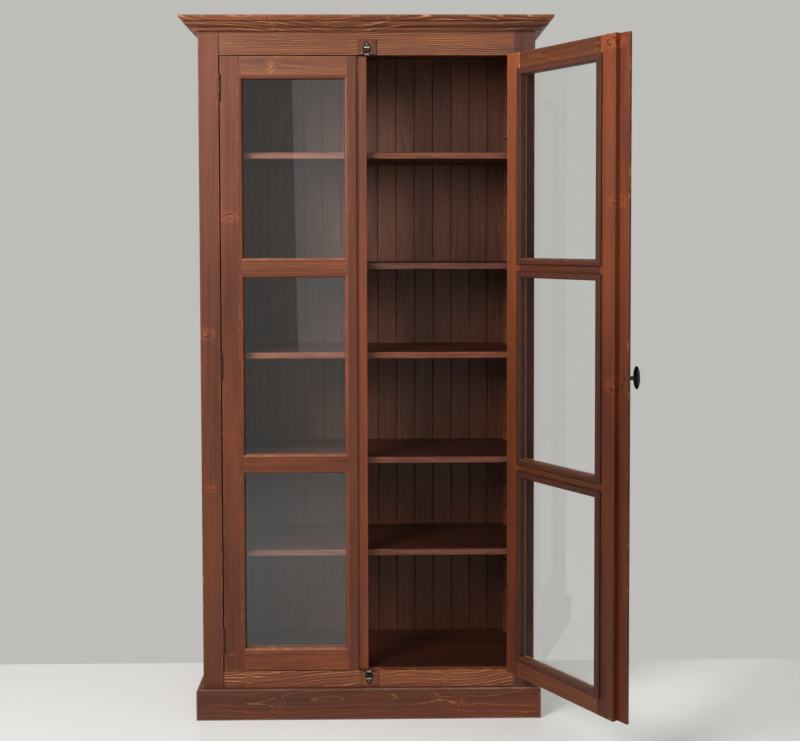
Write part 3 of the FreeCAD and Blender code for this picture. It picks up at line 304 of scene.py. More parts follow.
@dataclass
class Graph:
    """A builder for one node tree, so that a shader reads as a list of steps."""

    tree: Tree

    def add(self, kind: str, *sources: object, **settings: object) -> Node:
        """Add a node.

        Args:
            kind: The node's type name.
            sources: What feeds its inputs, in their order.
            settings: Properties set on the node.

        Returns:
            The new node.
        """
        node = self.tree.nodes.new(kind)
        for name, setting in settings.items():
            setattr(node, name, setting)
        for socket, source in zip(node.inputs, sources):
            self.feed(socket, source)
        return node

    def feed(self, socket: Socket, source: object) -> None:
        """Link a socket, or set its value.

        Args:
            socket: The input socket.
            source: A term, an output socket, a number, or a tuple of three numbers.
        """
        if isinstance(source, Term):
            source = source.socket
        if isinstance(source, Socket):
            self.tree.links.new(source, socket)
        else:
            socket.default_value = (*source, 1.0) if socket.type == "RGBA" else source

    def fill(self, node: Node, **sources: object) -> Node:
        """Feed a node's inputs by name.

        Args:
            node: The node.
            sources: What feeds each input, with spaces in names written as underscores.

        Returns:
            The node.
        """
        for name, source in sources.items():
            self.feed(node.inputs[name.replace("_", " ")], source)
        return node

    def group(self, tree: Tree, **sources: object) -> dict[str, Term]:
        """Place a node group.

        Args:
            tree: The group's tree.
            sources: What feeds each input, with spaces in names written as underscores.

        Returns:
            The group's outputs by name.
        """
        node = self.fill(self.add("ShaderNodeGroup", node_tree=tree), **sources)
        return {socket.name: Term(self, socket) for socket in node.outputs}

    def math(self, operation: str, *operands: Value) -> Term:
        """Add one step of arithmetic.

        Args:
            operation: The Math node's operation.
            operands: One or two values.

        Returns:
            The result.
        """
        return Term(self, self.add("ShaderNodeMath", *operands, operation=operation).outputs[0])

    def length(self, first: Term, second: Term) -> Term:
        """Return how long a line is that runs so far one way and so far across it."""
        return self.math("SQRT", first * first + second * second)

    def spot(self) -> Term:
        """Return object coordinates."""
        return Term(self, self.add("ShaderNodeTexCoord").outputs["Object"])

    def split(self, vector: Term) -> list[Term]:
        """Return the three parts of a vector."""
        return [Term(self, part) for part in self.add("ShaderNodeSeparateXYZ", vector).outputs]

    def join(self, *parts: Value) -> Term:
        """Return a vector of two or three parts."""
        return Term(self, self.add("ShaderNodeCombineXYZ", *parts).outputs[0])

    def stretch(self, vector: Term, scale: Point) -> Term:
        """Return a vector scaled along each axis."""
        node = self.add("ShaderNodeMapping", vector_type="POINT")
        return Term(self, self.fill(node, Vector=vector, Scale=scale).outputs[0])

    def noise(
        self, vector: Term, scale: float, detail: float = 3.0, roughness: float = 0.6, part: str = "Fac"
    ) -> Term:
        """Add a noise texture.

        Args:
            vector: Where the texture is read.
            scale: How fine it is.
            detail: How many octaves it has.
            roughness: How strong the finer octaves are.
            part: The output that is used.

        Returns:
            The texture.
        """
        node = self.add("ShaderNodeTexNoise")
        self.fill(node, Vector=vector, Scale=scale, Detail=detail, Roughness=roughness)
        return Term(self, node.outputs[part])

    def mix(self, factor: Value, first: object, second: object, blend: str = "MIX") -> Term:
        """Blend two colours.

        Args:
            factor: How much of the second shows.
            first: A colour or its term.
            second: A colour or its term.
            blend: The blend mode.

        Returns:
            The mixed colour.
        """
        # The sockets for colours come after those for numbers and vectors
        node = self.add("ShaderNodeMix", factor, data_type="RGBA", blend_type=blend)
        for socket, source in zip(node.inputs[6:8], (first, second)):
            self.feed(socket, source)
        return Term(self, node.outputs[2])


class Effect(Graph):
    """A builder for one shader node group, whose inputs are read and whose outputs are set by name."""

    def __init__(self, name: str, inputs: str, outputs: str) -> None:
        """Make an empty group.

        Args:
            name: The group's name.
            inputs: Names of its inputs, split by commas.
            outputs: Names of its outputs, split by commas.
        """
        super().__init__(bpy.data.node_groups.new(name, "ShaderNodeTree"))
        for in_out, titles in (("INPUT", inputs), ("OUTPUT", outputs)):
            for title in titles.split(", "):
                kind = "Vector" if title in VECTOR_INPUTS else "Float"
                if title.endswith(("Colour", "Tint")):
                    kind = "Color"
                self.tree.interface.new_socket(name=title, in_out=in_out, socket_type="NodeSocket" + kind)
        self.given = self.add("NodeGroupInput").outputs
        self.result = self.add("NodeGroupOutput").inputs

    def __getitem__(self, name: str) -> Term:
        """Return an input."""
        return Term(self, self.given[name])

    def __setitem__(self, name: str, source: Value) -> None:
        """Set an output."""
        self.feed(self.result[name], source)


def seen_rays(graph: Graph) -> Term:
    """Tell the rays that show a surface, straight or in metal and glass, from those that light it.

    Args:
        graph: The tree that asks.

    Returns:
        A term that is 1 for rays that show the surface.
    """
    path = graph.add("ShaderNodeLightPath").outputs
    ways = ("Camera", "Glossy", "Transmission")
    camera, glossy, through = (Term(graph, path[f"Is {way} Ray"]) for way in ways)
    return camera.most(glossy).most(through)


class Effects:
    """The node groups that materials share, each built when it is first asked for."""

    @cached_property
    def knot(self) -> Tree:
        """How far a spot is from a knot, in radii. Before is how far it is from the knots already counted."""
        effect = Effect("knot_reach", "Spot, Centre, Radius, Before", "Reach")
        pushes = effect.split(effect.noise(effect["Spot"], 95.0, part="Color"))
        spots, centres = effect.split(effect["Spot"]), effect.split(effect["Centre"])
        along, across = (
            (spot - centre + (push - NOISE_MIDDLE) * KNOT_WOBBLE) * squeeze
            for spot, centre, push, squeeze in zip(spots, centres, pushes, KNOT_SQUEEZE)
        )
        effect["Reach"] = (effect.length(along, across) / effect["Radius"]).least(effect["Before"])
        return effect.tree

    @cached_property
    def mitre(self) -> Tree:
        """Grain that turns at the mitres of the sticks round a door's panes.

        Low and High are the sticks' box, Bay is the height that one pane's sticks take and Pitch the
        step between panes.
        """
        effect = Effect("mitre", "Vector, Low, High, Bay, Pitch", "Along, Across, Through, Sill")
        x, y, z = effect.split(effect["Vector"])
        low_x, _, low_z = effect.split(effect["Low"])
        high_x = effect.split(effect["High"])[0]
        rise = effect.math("FLOORED_MODULO", z - low_z + STICK_SLACK, effect["Pitch"]) - STICK_SLACK
        upright = (x - low_x).least(high_x - x)
        level = rise.least(effect["Bay"] - rise)
        is_level = level.below(upright)
        effect["Along"] = z + is_level * (x - z)
        effect["Across"] = level.least(upright)
        effect["Through"] = y + is_level * LEVEL_SHIFT
        effect["Sill"] = is_level * rise.below(effect["Bay"] / 2)
        return effect.tree

    @cached_property
    def stick(self) -> Tree:
        """Painted light on a stick: painted shade in its outer quirk and at the glass, and a painted
        highlight along the top edge of a sill.
        """
        effect = Effect("stick_painted_light", "Vector, Across, Sill, Width, Amount", "Wear, Dirt")
        rub = effect.noise(effect["Vector"], 30.0).ramp(0.35, 0.65, 0.4, 1.0)
        inner = effect["Width"] - effect["Across"]
        # Painted highlight along the top edge of a sill, where light from above falls
        painted_sill_highlight = inner.ramp(0.0075, 0.003) * effect["Sill"]
        effect["Wear"] = painted_sill_highlight * rub * effect["Amount"]
        # Painted shade in the outer quirk and at the glass
        quirk = effect["Across"].ramp(0.0026, 0.001)
        glass = inner.ramp(0.0035, 0.001) * (1.0 - effect["Sill"])
        effect["Dirt"] = (quirk * QUIRK_SHADE).most(glass * GLASS_SHADE) * effect["Amount"]
        return effect.tree

    @cached_property
    def joint(self) -> Tree:
        """The dark line where a board meets its neighbour. Place runs across the line."""
        effect = Effect("joint_line", "Colour, Line Colour, Place, Joint", "Colour")
        line = abs(effect["Place"] - effect["Joint"]).ramp(*THIN_LINE, 0.0, JOINT_SHADE)
        effect["Colour"] = effect.mix(line, effect["Colour"], effect["Line Colour"])
        return effect.tree

    @cached_property
    def tint(self) -> Tree:
        """Partly uneven stain and partly painted light and shade, which make a board lighter or darker toward
        one end. The start and end colours multiply the colour at the board's two ends.
        """
        effect = Effect("end_tint", "Colour, Place, Start, End, Start Tint, End Tint", "Colour")
        start = (effect["End"] - effect["Start"]) * LIGHT_AND_STAIN_START + effect["Start"]
        share = effect["Place"].ramp(start, effect["End"])
        tint = effect.mix(share, effect["Start Tint"], effect["End Tint"])
        effect["Colour"] = effect.mix(1.0, effect["Colour"], tint, "MULTIPLY")
        return effect.tree

    @cached_property
    def nosing(self) -> Tree:
        """The paler, streaked front edge of a shelf, partly rubbed and partly painted light. Before is the
        wear so far.
        """
        effect = Effect("nosing", "Vector, Front, Before", "Wear")
        front = (effect.split(effect["Vector"])[1] - effect["Front"]).ramp(0.001, 0.004, 1.0, 0.0)
        streak = effect.noise(effect.stretch(effect["Vector"], (9.0, 60.0, 240.0)), 1.0)
        effect["Wear"] = effect["Before"].most(front * streak.ramp(0.38, 0.66, 0.4, 1.15))
        return effect.tree

    @cached_property
    def chips(self) -> Tree:
        """The pale chips along an inner edge of a board. Place runs across the board."""
        effect = Effect("chipped_edge", "Vector, Place, Edge, Before", "Wear")
        near = abs(effect["Place"] - effect["Edge"]).ramp(*THIN_LINE, 0.0, CHIP_SHADE)
        rub = effect.noise(effect.stretch(effect["Vector"], (90.0, 90.0, 24.0)), 1.0)
        effect["Wear"] = effect["Before"].most(near * rub.ramp(0.56, 0.64))
        return effect.tree

    @cached_property
    def grain(self) -> Tree:
        """The growth lines, streaks, brushed fibres and knots of a sawn board.

        The vector runs along, across and through the board, in metres.
        """
        effect = Effect(
            "pine_grain", "Vector, Seed, Pith, Depth, Spacing, Line, Broken, Wander, Reach",
            "Ridge, Valley, Fibre, Streak, Tone, Knot, Heart, Halo, Height",
        )
        along, across, through = effect.split(effect["Vector"])
        shift = effect["Seed"] * SEED_STEP
        along = along + shift

        def grainy(lengthwise: float, sideways: float, *texture: object) -> Term:
            """Return noise that is stretched along the grain."""
            spot = effect.join(along * lengthwise, across * sideways, through * sideways + shift)
            return effect.noise(spot, 1.0, *texture)

        sway = effect.split(grainy(1.9, 5.0, 1.0, 0.5, "Color"))
        bend, dip = ((push - NOISE_MIDDLE) * effect["Wander"] for push in sway[:2])
        radius = effect.length(across - effect["Pith"] + bend, through + effect["Depth"] + dip)
        radius = radius + effect["Reach"].ramp(0.0, KNOT_SPREAD, KNOT_BULGE, 0.0)

        rings = radius / effect["Spacing"] + grainy(13.0, 55.0, 3.0, 0.55) * RIPPLE
        phase = effect.math("FRACT", rings)
        line = effect["Line"]
        ridge = abs(phase - MID_YEAR).ramp(line * RIDGE_START, line * RIDGE_FULL)
        valley = abs(phase - (line + MID_YEAR)).ramp(line * VALLEY_START, 0.0)
        year = effect.noise(effect.join(effect.math("FLOOR", rings), shift), YEAR_CHANGE, 0.0, 0.5)
        showing = year.ramp(0.32, 0.6) * grainy(5.0, 30.0).ramp(0.4, 0.6)
        strength = 1.0 - effect["Broken"] * (1.0 - showing)
        ridge, valley = ridge * strength, valley * strength

        fibre = grainy(9.0, 420.0, 3.0, 0.65)
        streak = grainy(2.2, 120.0)
        tone = grainy(1.8, 13.0, 3.0, 0.55)

        shown = effect.noise(effect["Vector"], 75.0, 2.0, 0.5)
        rim = abs(effect["Reach"] - 1.0).ramp(0.45, 0.05) * shown.ramp(0.44, 0.56)
        heart = effect["Reach"].ramp(1.2, 0.7)
        cracks = effect.noise(effect["Vector"], 210.0).ramp(0.5, 0.4) * heart
        halo = effect["Reach"].ramp(3.0, 1.0) * streak.ramp(0.35, 0.6, 0.3, 1.0)
        for name, value in (
            ("Ridge", ridge), ("Valley", valley), ("Fibre", fibre), ("Streak", streak), ("Tone", tone),
            ("Knot", rim.most(cracks * CRACK_STAIN)), ("Heart", heart), ("Halo", halo),
            ("Height", ridge * RIDGE_HEIGHT + fibre * FIBRE_HEIGHT - valley * VALLEY_DEPTH),
        ):
            effect[name] = value
        return effect.tree

    @cached_property
    def stain(self) -> Tree:
        """The colour and gloss that stain gives to grain."""
        effect = Effect(
            "pine_stain",
            "Ridge, Valley, Fibre, Streak, Tone, Knot, Heart, Halo, Wear, Ground Colour, Ridge Colour, "
            "Shade Colour, Worn Colour, Knot Colour, Warm Colour, Contrast, Streaks, Tones, Gloss",
            "Colour, Roughness",
        )
        fibre, streak, tone = effect["Fibre"], effect["Streak"], effect["Tone"]
        contrast, streaks, tones = effect["Contrast"], effect["Streaks"], effect["Tones"]
        colour = effect["Ground Colour"]
        for amount, stain in (
            (tone.ramp(0.52, 0.28) * tones, "Shade"),
            (tone.ramp(0.48, 0.72) * tones, "Warm"),
            (streak.ramp(0.5, 0.28) * streaks, "Shade"),
            (streak.ramp(0.5, 0.74) * streaks, "Warm"),
            (fibre.ramp(0.42, 0.28) * streaks, "Shade"),
            (effect["Valley"] * contrast * VALLEY_STAIN, "Shade"),
            (effect["Ridge"] * contrast, "Ridge"),
            (effect["Halo"] * HALO_STAIN, "Warm"),
            (effect["Heart"] * HEART_STAIN, "Ridge"),
            (effect["Knot"] * RIM_STAIN, "Knot"),
            (effect["Wear"], "Worn"),
        ):
            colour = effect.mix(amount, colour, effect[stain + " Colour"])
        effect["Colour"] = colour
        rough = (fibre - NOISE_MIDDLE) * FIBRE_GLOSS - effect["Ridge"] * RIDGE_GLOSS
        effect["Roughness"] = effect["Gloss"] + rough
        return effect.tree

    @cached_property
    def wear(self) -> Tree:
        """The pale rubbed line along the edges of a board's box. Chips is how broken the line is."""
        effect = Effect("edge_wear", "Vector, Low, High, Width, Amount, Chips", "Wear")
        corners = (effect.split(effect[name]) for name in ("Vector", "Low", "High"))
        gap_x, gap_y, gap_z = ((spot - low).least(high - spot) for spot, low, high in zip(*corners))
        edge = gap_x.least(gap_y).most(gap_x.most(gap_y).least(gap_z))
        chipped = effect.noise(effect["Vector"], 38.0, 4.0).ramp(0.46, 0.62, -0.7, 0.3) * effect["Chips"]
        near = (edge / (effect["Width"] * (chipped + 1.0))).ramp(0.0, 1.0, 1.0, 0.0)
        rub = effect.noise(effect["Vector"], 4.0, 1.0, 0.5).ramp(0.35, 0.65, 0.35, 1.0)
        effect["Wear"] = near * effect["Amount"] * rub
        return effect.tree

    @cached_property
    def tarnish(self) -> Tree:
        """Patches of tarnish and fine scratches. Gloss is the roughness of clean metal."""
        effect = Effect("tarnish", "Vector, Gloss, Scratch", "Patch, Roughness, Height")
        patch = effect.noise(effect["Vector"], 120.0, 4.0)
        scratch = effect.noise(effect["Vector"], 900.0, 3.0, 0.7)
        gloss = effect["Gloss"] + (scratch - NOISE_MIDDLE) * effect["Scratch"]
        effect["Patch"] = patch.ramp(0.4, 0.65)
        effect["Roughness"] = gloss + patch.ramp(0.35, 0.7, 0.0, 0.15)
        effect["Height"] = scratch
        return effect.tree

    @cached_property
    def wave(self) -> Tree:
        """The slow waviness of a pane."""
        effect = Effect("pane_wave", "Vector", "Height")
        effect["Height"] = effect.noise(effect["Vector"], 2.5, 1.0, 0.5)
        return effect.tree


@dataclass(frozen=True)
class Figure:
    """How the grain of a board shows.

    The pith lies aside of the board and behind it, in metres. A year is so many metres wide, its pale line
    takes a share of that, and the lines show with some contrast, more or less broken. The grain wanders by
    some metres, and streaks and slow changes of tone lie over it.
    """

    aside: float
    behind: float
    year: float
    line: float
    contrast: float
    broken: float
    wander: float
    streaks: float
    tones: float


SMOOTH = Figure(0.16, 0.10, 0.008, 0.16, 0.16, 0.9, 0.05, 0.3, 0.6)
EVEN = replace(SMOOTH, tones=0.3)
BRUSHED = Figure(0.30, 0.02, 0.0064, 0.30, 1.0, 0.75, 0.03, 0.6, 0.5)
COARSE = Figure(0.30, 0.02, 0.0095, 0.28, 1.0, 0.8, 0.10, 0.45, 0.4)
CONTOURED = Figure(0.012, 0.030, 0.0115, 0.11, 0.65, 0.65, 0.07, 0.45, 0.6)
MILD = Figure(0.02, 0.05, 0.009, 0.2, 0.26, 0.8, 0.05, 0.36, 0.65)
DULL = Figure(0.02, 0.05, 0.009, 0.25, 0.3, 0.6, 0.05, 0.35, 0.45)


@dataclass(frozen=True)
class Board:
    """How one wooden node is sawn and stained.

    Knots are places along and across the grain, with a radius. Wear is how far its edges are rubbed; on the
    plinth and the lip of the right door it is partly painted highlight, and on sticks it sets a painted
    highlight on the sills and painted shade in the quirks. A band is a stretch across the grain that took
    more stain. Joints are places along the grain where it meets a neighbour, and seams such places across it.
    Inner edges that are chipped are places across the grain.
    Light and stain colours multiply its colour at its low and its high end, along the grain unless an axis is
    named; they paint light and shade along the board, mixed with uneven stain. A nosed board has a paler
    front edge, partly rubbed and partly painted light.
    """

    node: str
    grain: Grain
    seed: float
    figure: Figure = SMOOTH
    wear: float = 0.4
    finish: PineFinish = OUTER_PINE
    knots: tuple[Point, ...] = ()
    slant: float = 0.0
    joints: tuple[float, ...] = ()
    seams: tuple[float, ...] = ()
    chipped: tuple[float, ...] = ()
    light_and_stain_tints: Optional[tuple[Colour, Colour]] = None
    light_and_stain_axis: Optional[str] = None
    worn_width: float = 0.005
    chips: float = 1.0
    band: Optional[tuple[float, float]] = None
    nosed: bool = False


@dataclass(frozen=True)
class LocalFrame:
    """Where a piece's own axes are: a point and a turn about the upright axis, at rest."""

    point: Point = (0.0, 0.0, 0.0)
    turn: float = 0.0


@dataclass(frozen=True)
class Sticks:
    """Sticks round panes: the height that one pane's take, the step from pane to pane and a stick's width."""

    bay: float
    pitch: float
    width: float


@dataclass
class Finisher:
    """Makes the materials and puts them on the nodes, which it has by name."""

    nodes: dict[str, Piece]
    effects: Effects = field(default_factory=Effects)

    def _start(self, name: str) -> tuple[Graph, Material, Node]:
        """Return an empty material's builder, the material and its main shader."""
        material = bpy.data.materials.new(name)
        material.use_nodes = True
        return Graph(material.node_tree), material, material.node_tree.nodes["Principled BSDF"]

    def _put(self, node: str, material: Material) -> None:
        """Put a material in every slot of a node."""
        for slot in self.nodes[node].material_slots:
            slot.material = material

    def _bump(self, graph: Graph, shader: Node, height: Term, relief: Relief) -> None:
        """Let a height stand out of a surface.

        Args:
            graph: The material's builder.
            shader: The material's main shader.
            height: The height.
            relief: How far it stands out.
        """
        bump = graph.add("ShaderNodeBump")
        graph.fill(bump, Strength=relief.strength, Distance=relief.height, Height=height)
        graph.fill(shader, Normal=bump.outputs["Normal"])

    def pine(
        self, board: Board, frame: LocalFrame, box: Box, plank: float = 0.0, sticks: Optional[Sticks] = None
    ) -> None:
        """Dress a wooden node.

        Args:
            board: How the wood is sawn.
            frame: The piece's own axes.
            box: Corners of the piece in those axes.
            plank: Width of the planks that a row is made of, or 0 where it is one piece.
            sticks: What the piece's sticks frame, or None where it has none.
        """
        graph, material, shader = self._start(board.node + "_pine")
        wood, finish, figure = self.effects, board.finish, board.figure
        turn = graph.add("ShaderNodeMapping", vector_type="TEXTURE")
        graph.fill(turn, Vector=graph.spot(), Location=frame.point, Rotation=(0.0, 0.0, frame.turn))
        local = Term(graph, turn.outputs["Vector"])
        spots = dict(zip("XYZ", graph.split(local)))
        middle = dict(zip("XYZ", (box[0] + box[1]) / 2))
        corners = {"Low": tuple(box[0]), "High": tuple(box[1])}
        run, side, depth = board.grain.value
        seed: Value = board.seed
        wear: Value = 0.0
        edges: Optional[dict[str, Term]] = None
        if sticks:
            turned = graph.group(wood.mitre, Vector=local, Bay=sticks.bay, Pitch=sticks.pitch, **corners)
            along, across, through = turned["Along"], turned["Across"], turned["Through"]
            # Painted highlight on the sills and painted shade in the quirks, both scaled by the board's wear
            edges = graph.group(
                wood.stick, Vector=local, Across=across, Sill=turned["Sill"], Width=sticks.width,
                Amount=board.wear,
            )
            wear = edges["Wear"]
        else:
            along, across, through = spots[run], spots[side], spots[depth] - middle[depth]
            if plank:
                count = graph.math("FLOOR", across / plank + 0.5)
                seed = count * PLANK_STEP + board.seed
                across = across - count * plank
            else:
                across = across - middle[side]
            if board.slant:
                across = across - along * board.slant
            if board.wear:
                wear = graph.group(
                    wood.wear, Vector=local, Width=board.worn_width, Amount=board.wear, Chips=board.chips,
                    **corners,
                )["Wear"]
        if board.nosed:
            wear = graph.group(wood.nosing, Vector=local, Front=box[0].y, Before=wear)["Wear"]
        for edge in board.chipped:
            wear = graph.group(wood.chips, Vector=local, Place=spots[side], Edge=edge, Before=wear)["Wear"]

        reach: Value = NO_KNOT
        for knot_along, knot_across, radius in board.knots:
            centre = (knot_along, knot_across - middle[side] - board.slant * knot_along, 0.0)
            spot = graph.join(along, across)
            reach = graph.group(wood.knot, Spot=spot, Centre=centre, Radius=radius, Before=reach)["Reach"]
        grain = graph.group(
            wood.grain, Vector=graph.join(along, across, through), Seed=seed, Pith=figure.aside,
            Depth=figure.behind, Spacing=figure.year, Line=figure.line, Broken=figure.broken,
            Wander=figure.wander, Reach=reach,
        )
        height = grain.pop("Height")
        kinds = ("ground", "ridge", "shade", "worn", "knot", "warm")
        stains = {f"{kind.title()}_Colour": getattr(finish, kind) for kind in kinds}
        stain = graph.group(
            wood.stain, Wear=wear, Contrast=figure.contrast, Streaks=figure.streaks, Tones=figure.tones,
            Gloss=finish.roughness, **grain, **stains,
        )

        colour = stain["Colour"]
        for axis, places in ((run, board.joints), (side, board.seams)):
            for place in places:
                colour = graph.group(
                    wood.joint, Colour=colour, Line_Colour=finish.shade, Place=spots[axis], Joint=place
                )["Colour"]
        # Painted shade in the quirks of the sticks and at the glass
        if edges:
            colour = graph.mix(edges["Dirt"], colour, finish.knot)
        # Painted light and shade mixed with uneven stain: the colour is multiplied toward each end of the
        # board
        if board.light_and_stain_tints:
            axis = board.light_and_stain_axis or run
            start, end = (getattr(corner, axis.lower()) for corner in box)
            low, high = board.light_and_stain_tints
            colour = graph.group(
                wood.tint, Colour=colour, Place=spots[axis], Start=start, End=end,
                Start_Tint=low, End_Tint=high,
            )["Colour"]
        if board.band:
            low, high = (edge - middle[side] for edge in board.band)
            rise = across.ramp(low - BAND_SOFT, low + BAND_SOFT)
            fall = across.ramp(high + BAND_SOFT, high - BAND_SOFT)
            colour = graph.mix(rise * fall, colour, BAND_TINT, "MULTIPLY")
        graph.fill(
            shader, Base_Color=colour, Roughness=stain["Roughness"], Specular_IOR_Level=finish.specular,
            Coat_Weight=finish.coat, Coat_Roughness=COAT_ROUGHNESS,
        )
        self._bump(graph, shader, height, finish.relief)
        self._put(board.node, material)
        LOG.info("dressed %s", board.node)

    def metal(self, finish: MetalFinish, *nodes: str) -> None:
        """Dress metal nodes.

        Args:
            finish: The metal.
            nodes: The nodes' names.
        """
        for node in nodes:
            self._put(node, self._metal(finish, node))

    def metal_piece(self, finish: MetalFinish, piece: Piece) -> None:
        """Put metal on a new piece."""
        piece.data.materials.append(self._metal(finish, piece.name))

    def _metal(self, finish: MetalFinish, name: str) -> Material:
        """Make a metal.

        Args:
            finish: The metal.
            name: The name of the piece that it is for.

        Returns:
            The material.
        """
        graph, material, shader = self._start(name + "_metal")
        tarnish = graph.group(
            self.effects.tarnish, Vector=graph.spot(), Gloss=finish.roughness, Scratch=finish.scratch
        )
        colour = graph.mix(tarnish["Patch"], finish.ground, finish.patch)
        graph.fill(shader, Base_Color=colour, Roughness=tarnish["Roughness"], Metallic=finish.metallic)
        self._bump(graph, shader, tarnish["Height"], finish.relief)
        return material

    def glass(self, finish: GlassFinish, *nodes: str) -> None:
        """Dress panes, clear to the rays that look for lamps, so that what is behind them is lit.

        Args:
            finish: The glass.
            nodes: The nodes' names.
        """
        for node in nodes:
            graph, material, shader = self._start(node + "_glass")
            graph.fill(
                shader, Base_Color=finish.tint, Roughness=finish.roughness, IOR=finish.ior,
                Transmission_Weight=1.0,
            )
            wave = graph.group(self.effects.wave, Vector=graph.spot())
            self._bump(graph, shader, wave["Height"], finish.relief)
            lamp_ray = graph.add("ShaderNodeLightPath").outputs["Is Shadow Ray"]
            clear = graph.add("ShaderNodeBsdfTransparent", finish.passed).outputs[0]
            either = graph.add("ShaderNodeMixShader", lamp_ray, shader.outputs[0], clear).outputs[0]
            graph.fill(graph.tree.nodes["Material Output"], Surface=either)
            self._put(node, material)


def shelf(name: str, seed: float, left: Colour, right: Colour) -> Board:
    """Return a shelf.

    Args:
        name: The shelf's node.
        seed: Where its grain starts.
        left: How the stain took on its left.
        right: How the stain took on its right.

    Returns:
        The board.
    """
    return Board(name, Grain.FLAT, seed, DULL, 0.4, SHELF_PINE_PAINTED_SHADE, light_and_stain_tints=(left, right), nosed=True)


# The two end colours given to posts, rails, cornice, plinth and shelves paint light and shade along them,
# mixed with uneven stain
CARCASS_BOARDS = (
    Board(
        "left_front_post", Grain.UPRIGHT, 2.6, EVEN, 0.6,
        knots=((1.108, -0.460, 0.011), (0.665, -0.448, 0.007)), seams=(-0.418,),
        light_and_stain_tints=((0.74, 0.76, 0.75), (0.93, 0.86, 0.76)),
    ),
    Board(
        "right_front_post", Grain.UPRIGHT, 4.1, SMOOTH, 0.5, PLUM_PINE,
        light_and_stain_tints=((0.9, 1.0, 1.1), (1.12, 1.34, 1.5)),
    ),
    Board("left_side_panel", Grain.SIDE, 2.2, MILD, knots=((1.42, -0.12, 0.008), (0.62, -0.23, 0.007))),
    Board("right_side_panel", Grain.SIDE, 7.9, MILD, knots=((0.94, -0.09, 0.008), (1.63, -0.25, 0.006))),
    Board(
        "frieze_rail", Grain.LEVEL, 3.3, BRUSHED, 0.3, joints=(-0.418, 0.418),
        light_and_stain_tints=((1.0, 1.1, 1.12), (1.03, 1.22, 1.32)),
    ),
    Board(
        "bottom_rail", Grain.LEVEL, 5.7, COARSE, 0.5, TAWNY_PINE,
        ((-0.344, 0.101, 0.005), (0.220, 0.112, 0.004)), slant=0.07, joints=(-0.418, 0.418),
    ),
    Board(
        "cornice_top_board", Grain.FLAT, 6.4, COARSE, 0.5, TAWNY_PINE,
        ((-0.284, -0.392, 0.008), (0.06, -0.390, 0.006)), light_and_stain_tints=((1.1, 1.15, 1.15), (1.05, 1.08, 1.15)),
    ),
    Board(
        "crown_front", Grain.LEVEL, 8.8, COARSE, 0.0, TAWNY_PINE,
        ((-0.264, 1.978, 0.005), (-0.113, 1.974, 0.005)), light_and_stain_tints=((0.92, 0.92, 0.92), (0.56, 0.6, 0.7)),
    ),
    Board("crown_left", Grain.DEEP, 9.1, COARSE, 0.0, TAWNY_PINE),
    Board("crown_right", Grain.DEEP, 9.7, COARSE, 0.0, TAWNY_PINE),
    # The plinth's strong, little-chipped edge wear is partly a painted highlight along its rounded top edge
    Board(
        "plinth_front", Grain.LEVEL, 2.9, CONTOURED, 0.9, CHESTNUT_PINE,
        ((-0.255, 0.036, 0.006), (-0.134, 0.036, 0.0025), (0.265, 0.050, 0.005)),
        light_and_stain_tints=((0.72, 0.76, 0.8), (1.06, 1.02, 0.98)), worn_width=0.006, chips=0.3,
    ),
    Board("plinth_left", Grain.DEEP, 3.9, CONTOURED, 0.6, CHESTNUT_PINE, worn_width=0.006, chips=0.3),
    Board("plinth_right", Grain.DEEP, 4.9, CONTOURED, 0.6, CHESTNUT_PINE, worn_width=0.006, chips=0.3),
    Board("plinth_back", Grain.LEVEL, 5.1, MILD),
    Board("catch_blocks", Grain.UPRIGHT, 6.6, SMOOTH, 0.0),
    Board("inner_top_panel", Grain.FLAT, 1.7, DULL, 0.0, INNER_PINE),
    Board("floor_panel", Grain.FLAT, 2.7, DULL, 0.0, SHELF_PINE_PAINTED_SHADE),
    Board("shelf_racks", Grain.UPRIGHT, 3.7, DULL, 0.0, INNER_PINE),
    Board("shelf_cleats", Grain.DEEP, 4.7, DULL, 0.0, INNER_PINE),
    shelf("lower_shelf", 5.3, (0.95, 1.0, 1.1), (0.86, 0.9, 0.9)),
    shelf("middle_shelf", 6.3, (1.2, 1.14, 1.05), (1.1, 1.04, 0.9)),
    shelf("upper_shelf", 7.3, (1.08, 1.1, 1.15), (1.12, 1.2, 1.2)),
    shelf("lower_fixed_shelf", 8.3, (1.1, 1.15, 1.15), (0.78, 0.8, 0.83)),
    shelf("upper_fixed_shelf", 9.3, (0.66, 0.77, 0.95), (0.75, 0.77, 0.93)),
)
# The back boards' two end colours paint shade: darker toward the bottom
BACK_BOARDS = Board(
    "back_boards", Grain.UPRIGHT, 2.3, DULL, 0.0, INNER_PINE, light_and_stain_tints=((0.57, 0.58, 0.56), (0.82, 0.9, 0.92))
)
